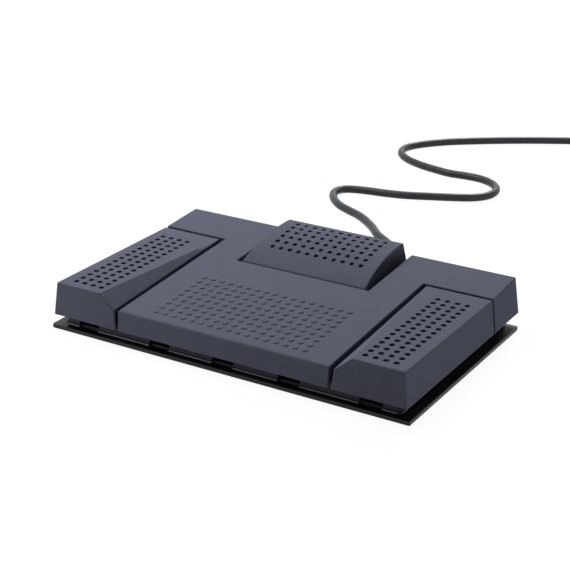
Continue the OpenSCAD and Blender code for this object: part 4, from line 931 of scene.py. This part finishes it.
def studio():
    """White room: faint light, a little more from above, and plain white where it is looked at."""
    scene = bpy.context.scene
    scene.view_settings.view_transform = "Standard"
    world = bpy.data.worlds.new("studio")
    scene.world = world
    world.use_nodes = True
    tree = world.node_tree
    tree.nodes.clear()
    seen = looked_at(tree)
    direction = node(tree, "ShaderNodeTexCoord").outputs["Generated"]
    height = node(tree, "ShaderNodeSeparateXYZ", {"Vector": direction}).outputs["Z"]
    horizon_light, overhead_light = 0.01, 0.04
    strength = node(tree, "ShaderNodeMapRange",
                    {0: height, 1: 0.15, 2: 0.9, 3: horizon_light, 4: overhead_light}).outputs[0]
    room = node(tree, "ShaderNodeBackground", {"Color": (1, 1, 1, 1), "Strength": strength})
    white = node(tree, "ShaderNodeBackground", {"Color": (1, 1, 1, 1), "Strength": 1.0})
    mixed = node(tree, "ShaderNodeMixShader", {0: seen, 1: room.outputs[0], 2: white.outputs[0]})
    node(tree, "ShaderNodeOutputWorld", {"Surface": mixed.outputs[0]})

    for name, place, target, width, height, power in LAMPS:
        lamp = bpy.data.lights.new(name, "AREA")
        lamp.shape = "RECTANGLE"
        lamp.size = width
        lamp.size_y = height
        lamp.energy = power
        light = bpy.data.objects.new(name, lamp)
        scene.collection.objects.link(light)
        light.location = place
        light.rotation_euler = (Vector(place) - Vector(target)).to_track_quat("Z", "Y").to_euler()
        light.visible_camera = False


def floor():
    """A pale floor that shows white, keeps the shadows faint and throws little light back up."""
    bm = bmesh.new()
    bmesh.ops.create_grid(bm, x_segments=1, y_segments=1, size=8)
    # It lies just below the feet, so that no two faces share a plane
    bmesh.ops.translate(bm, vec=(0, 0, -0.0001), verts=bm.verts)
    mesh = bpy.data.meshes.new("floor")
    bm.to_mesh(mesh)
    bm.free()
    material, tree = new_finish("matte_white_floor")
    seen = looked_at(tree)
    grey = node(tree, "ShaderNodeBsdfDiffuse", {"Color": linear("#b8b8b8")})
    pale = node(tree, "ShaderNodeBsdfDiffuse", {"Color": linear("#ffffff")})
    glow = node(tree, "ShaderNodeEmission", {"Color": (1, 1, 1, 1), "Strength": 1.1})
    glow_share = 0.85
    shown = node(tree, "ShaderNodeMixShader", {0: glow_share, 1: pale.outputs[0], 2: glow.outputs[0]})
    mixed = node(tree, "ShaderNodeMixShader", {0: seen, 1: grey.outputs[0], 2: shown.outputs[0]})
    node(tree, "ShaderNodeOutputMaterial", {"Surface": mixed.outputs[0]})
    mesh.materials.append(material)
    ground = bpy.data.objects.new("floor", mesh)
    bpy.context.scene.collection.objects.link(ground)


NODE_SLOTS = {part["node"]: part["material_slot"] for part in frame["record"]["subparts"]}

add_camera()
cord_path = cord_line()
cord = cord_piece(cord_path)
studio()
floor()
side_pedal("left_pedal", -1)
side_pedal("right_pedal", 1)
rear_pedal()
top_cover()

# The return springs, each on its seat under its pedal
return_spring("left_spring", -PEDAL_MID, SPRING_Y, SIDE_SEAT_Z)
return_spring("right_spring", PEDAL_MID, SPRING_Y, SIDE_SEAT_Z)
return_spring("rear_spring", 0, REAR_SPRING_Y, REAR_SEAT_Z)

for name, width in HOUSING_EASE.items():
    softened(name, width)
cord_ends = [softened(name, width) for name, width in CORD_EASE.items()]

for name, slot in NODE_SLOTS.items():
    nodes[name].data.materials.clear()
    nodes[name].data.materials.append(FINISHES[slot])

sum((b - a).length for a, b in zip(cord_path, cord_path[1:]))
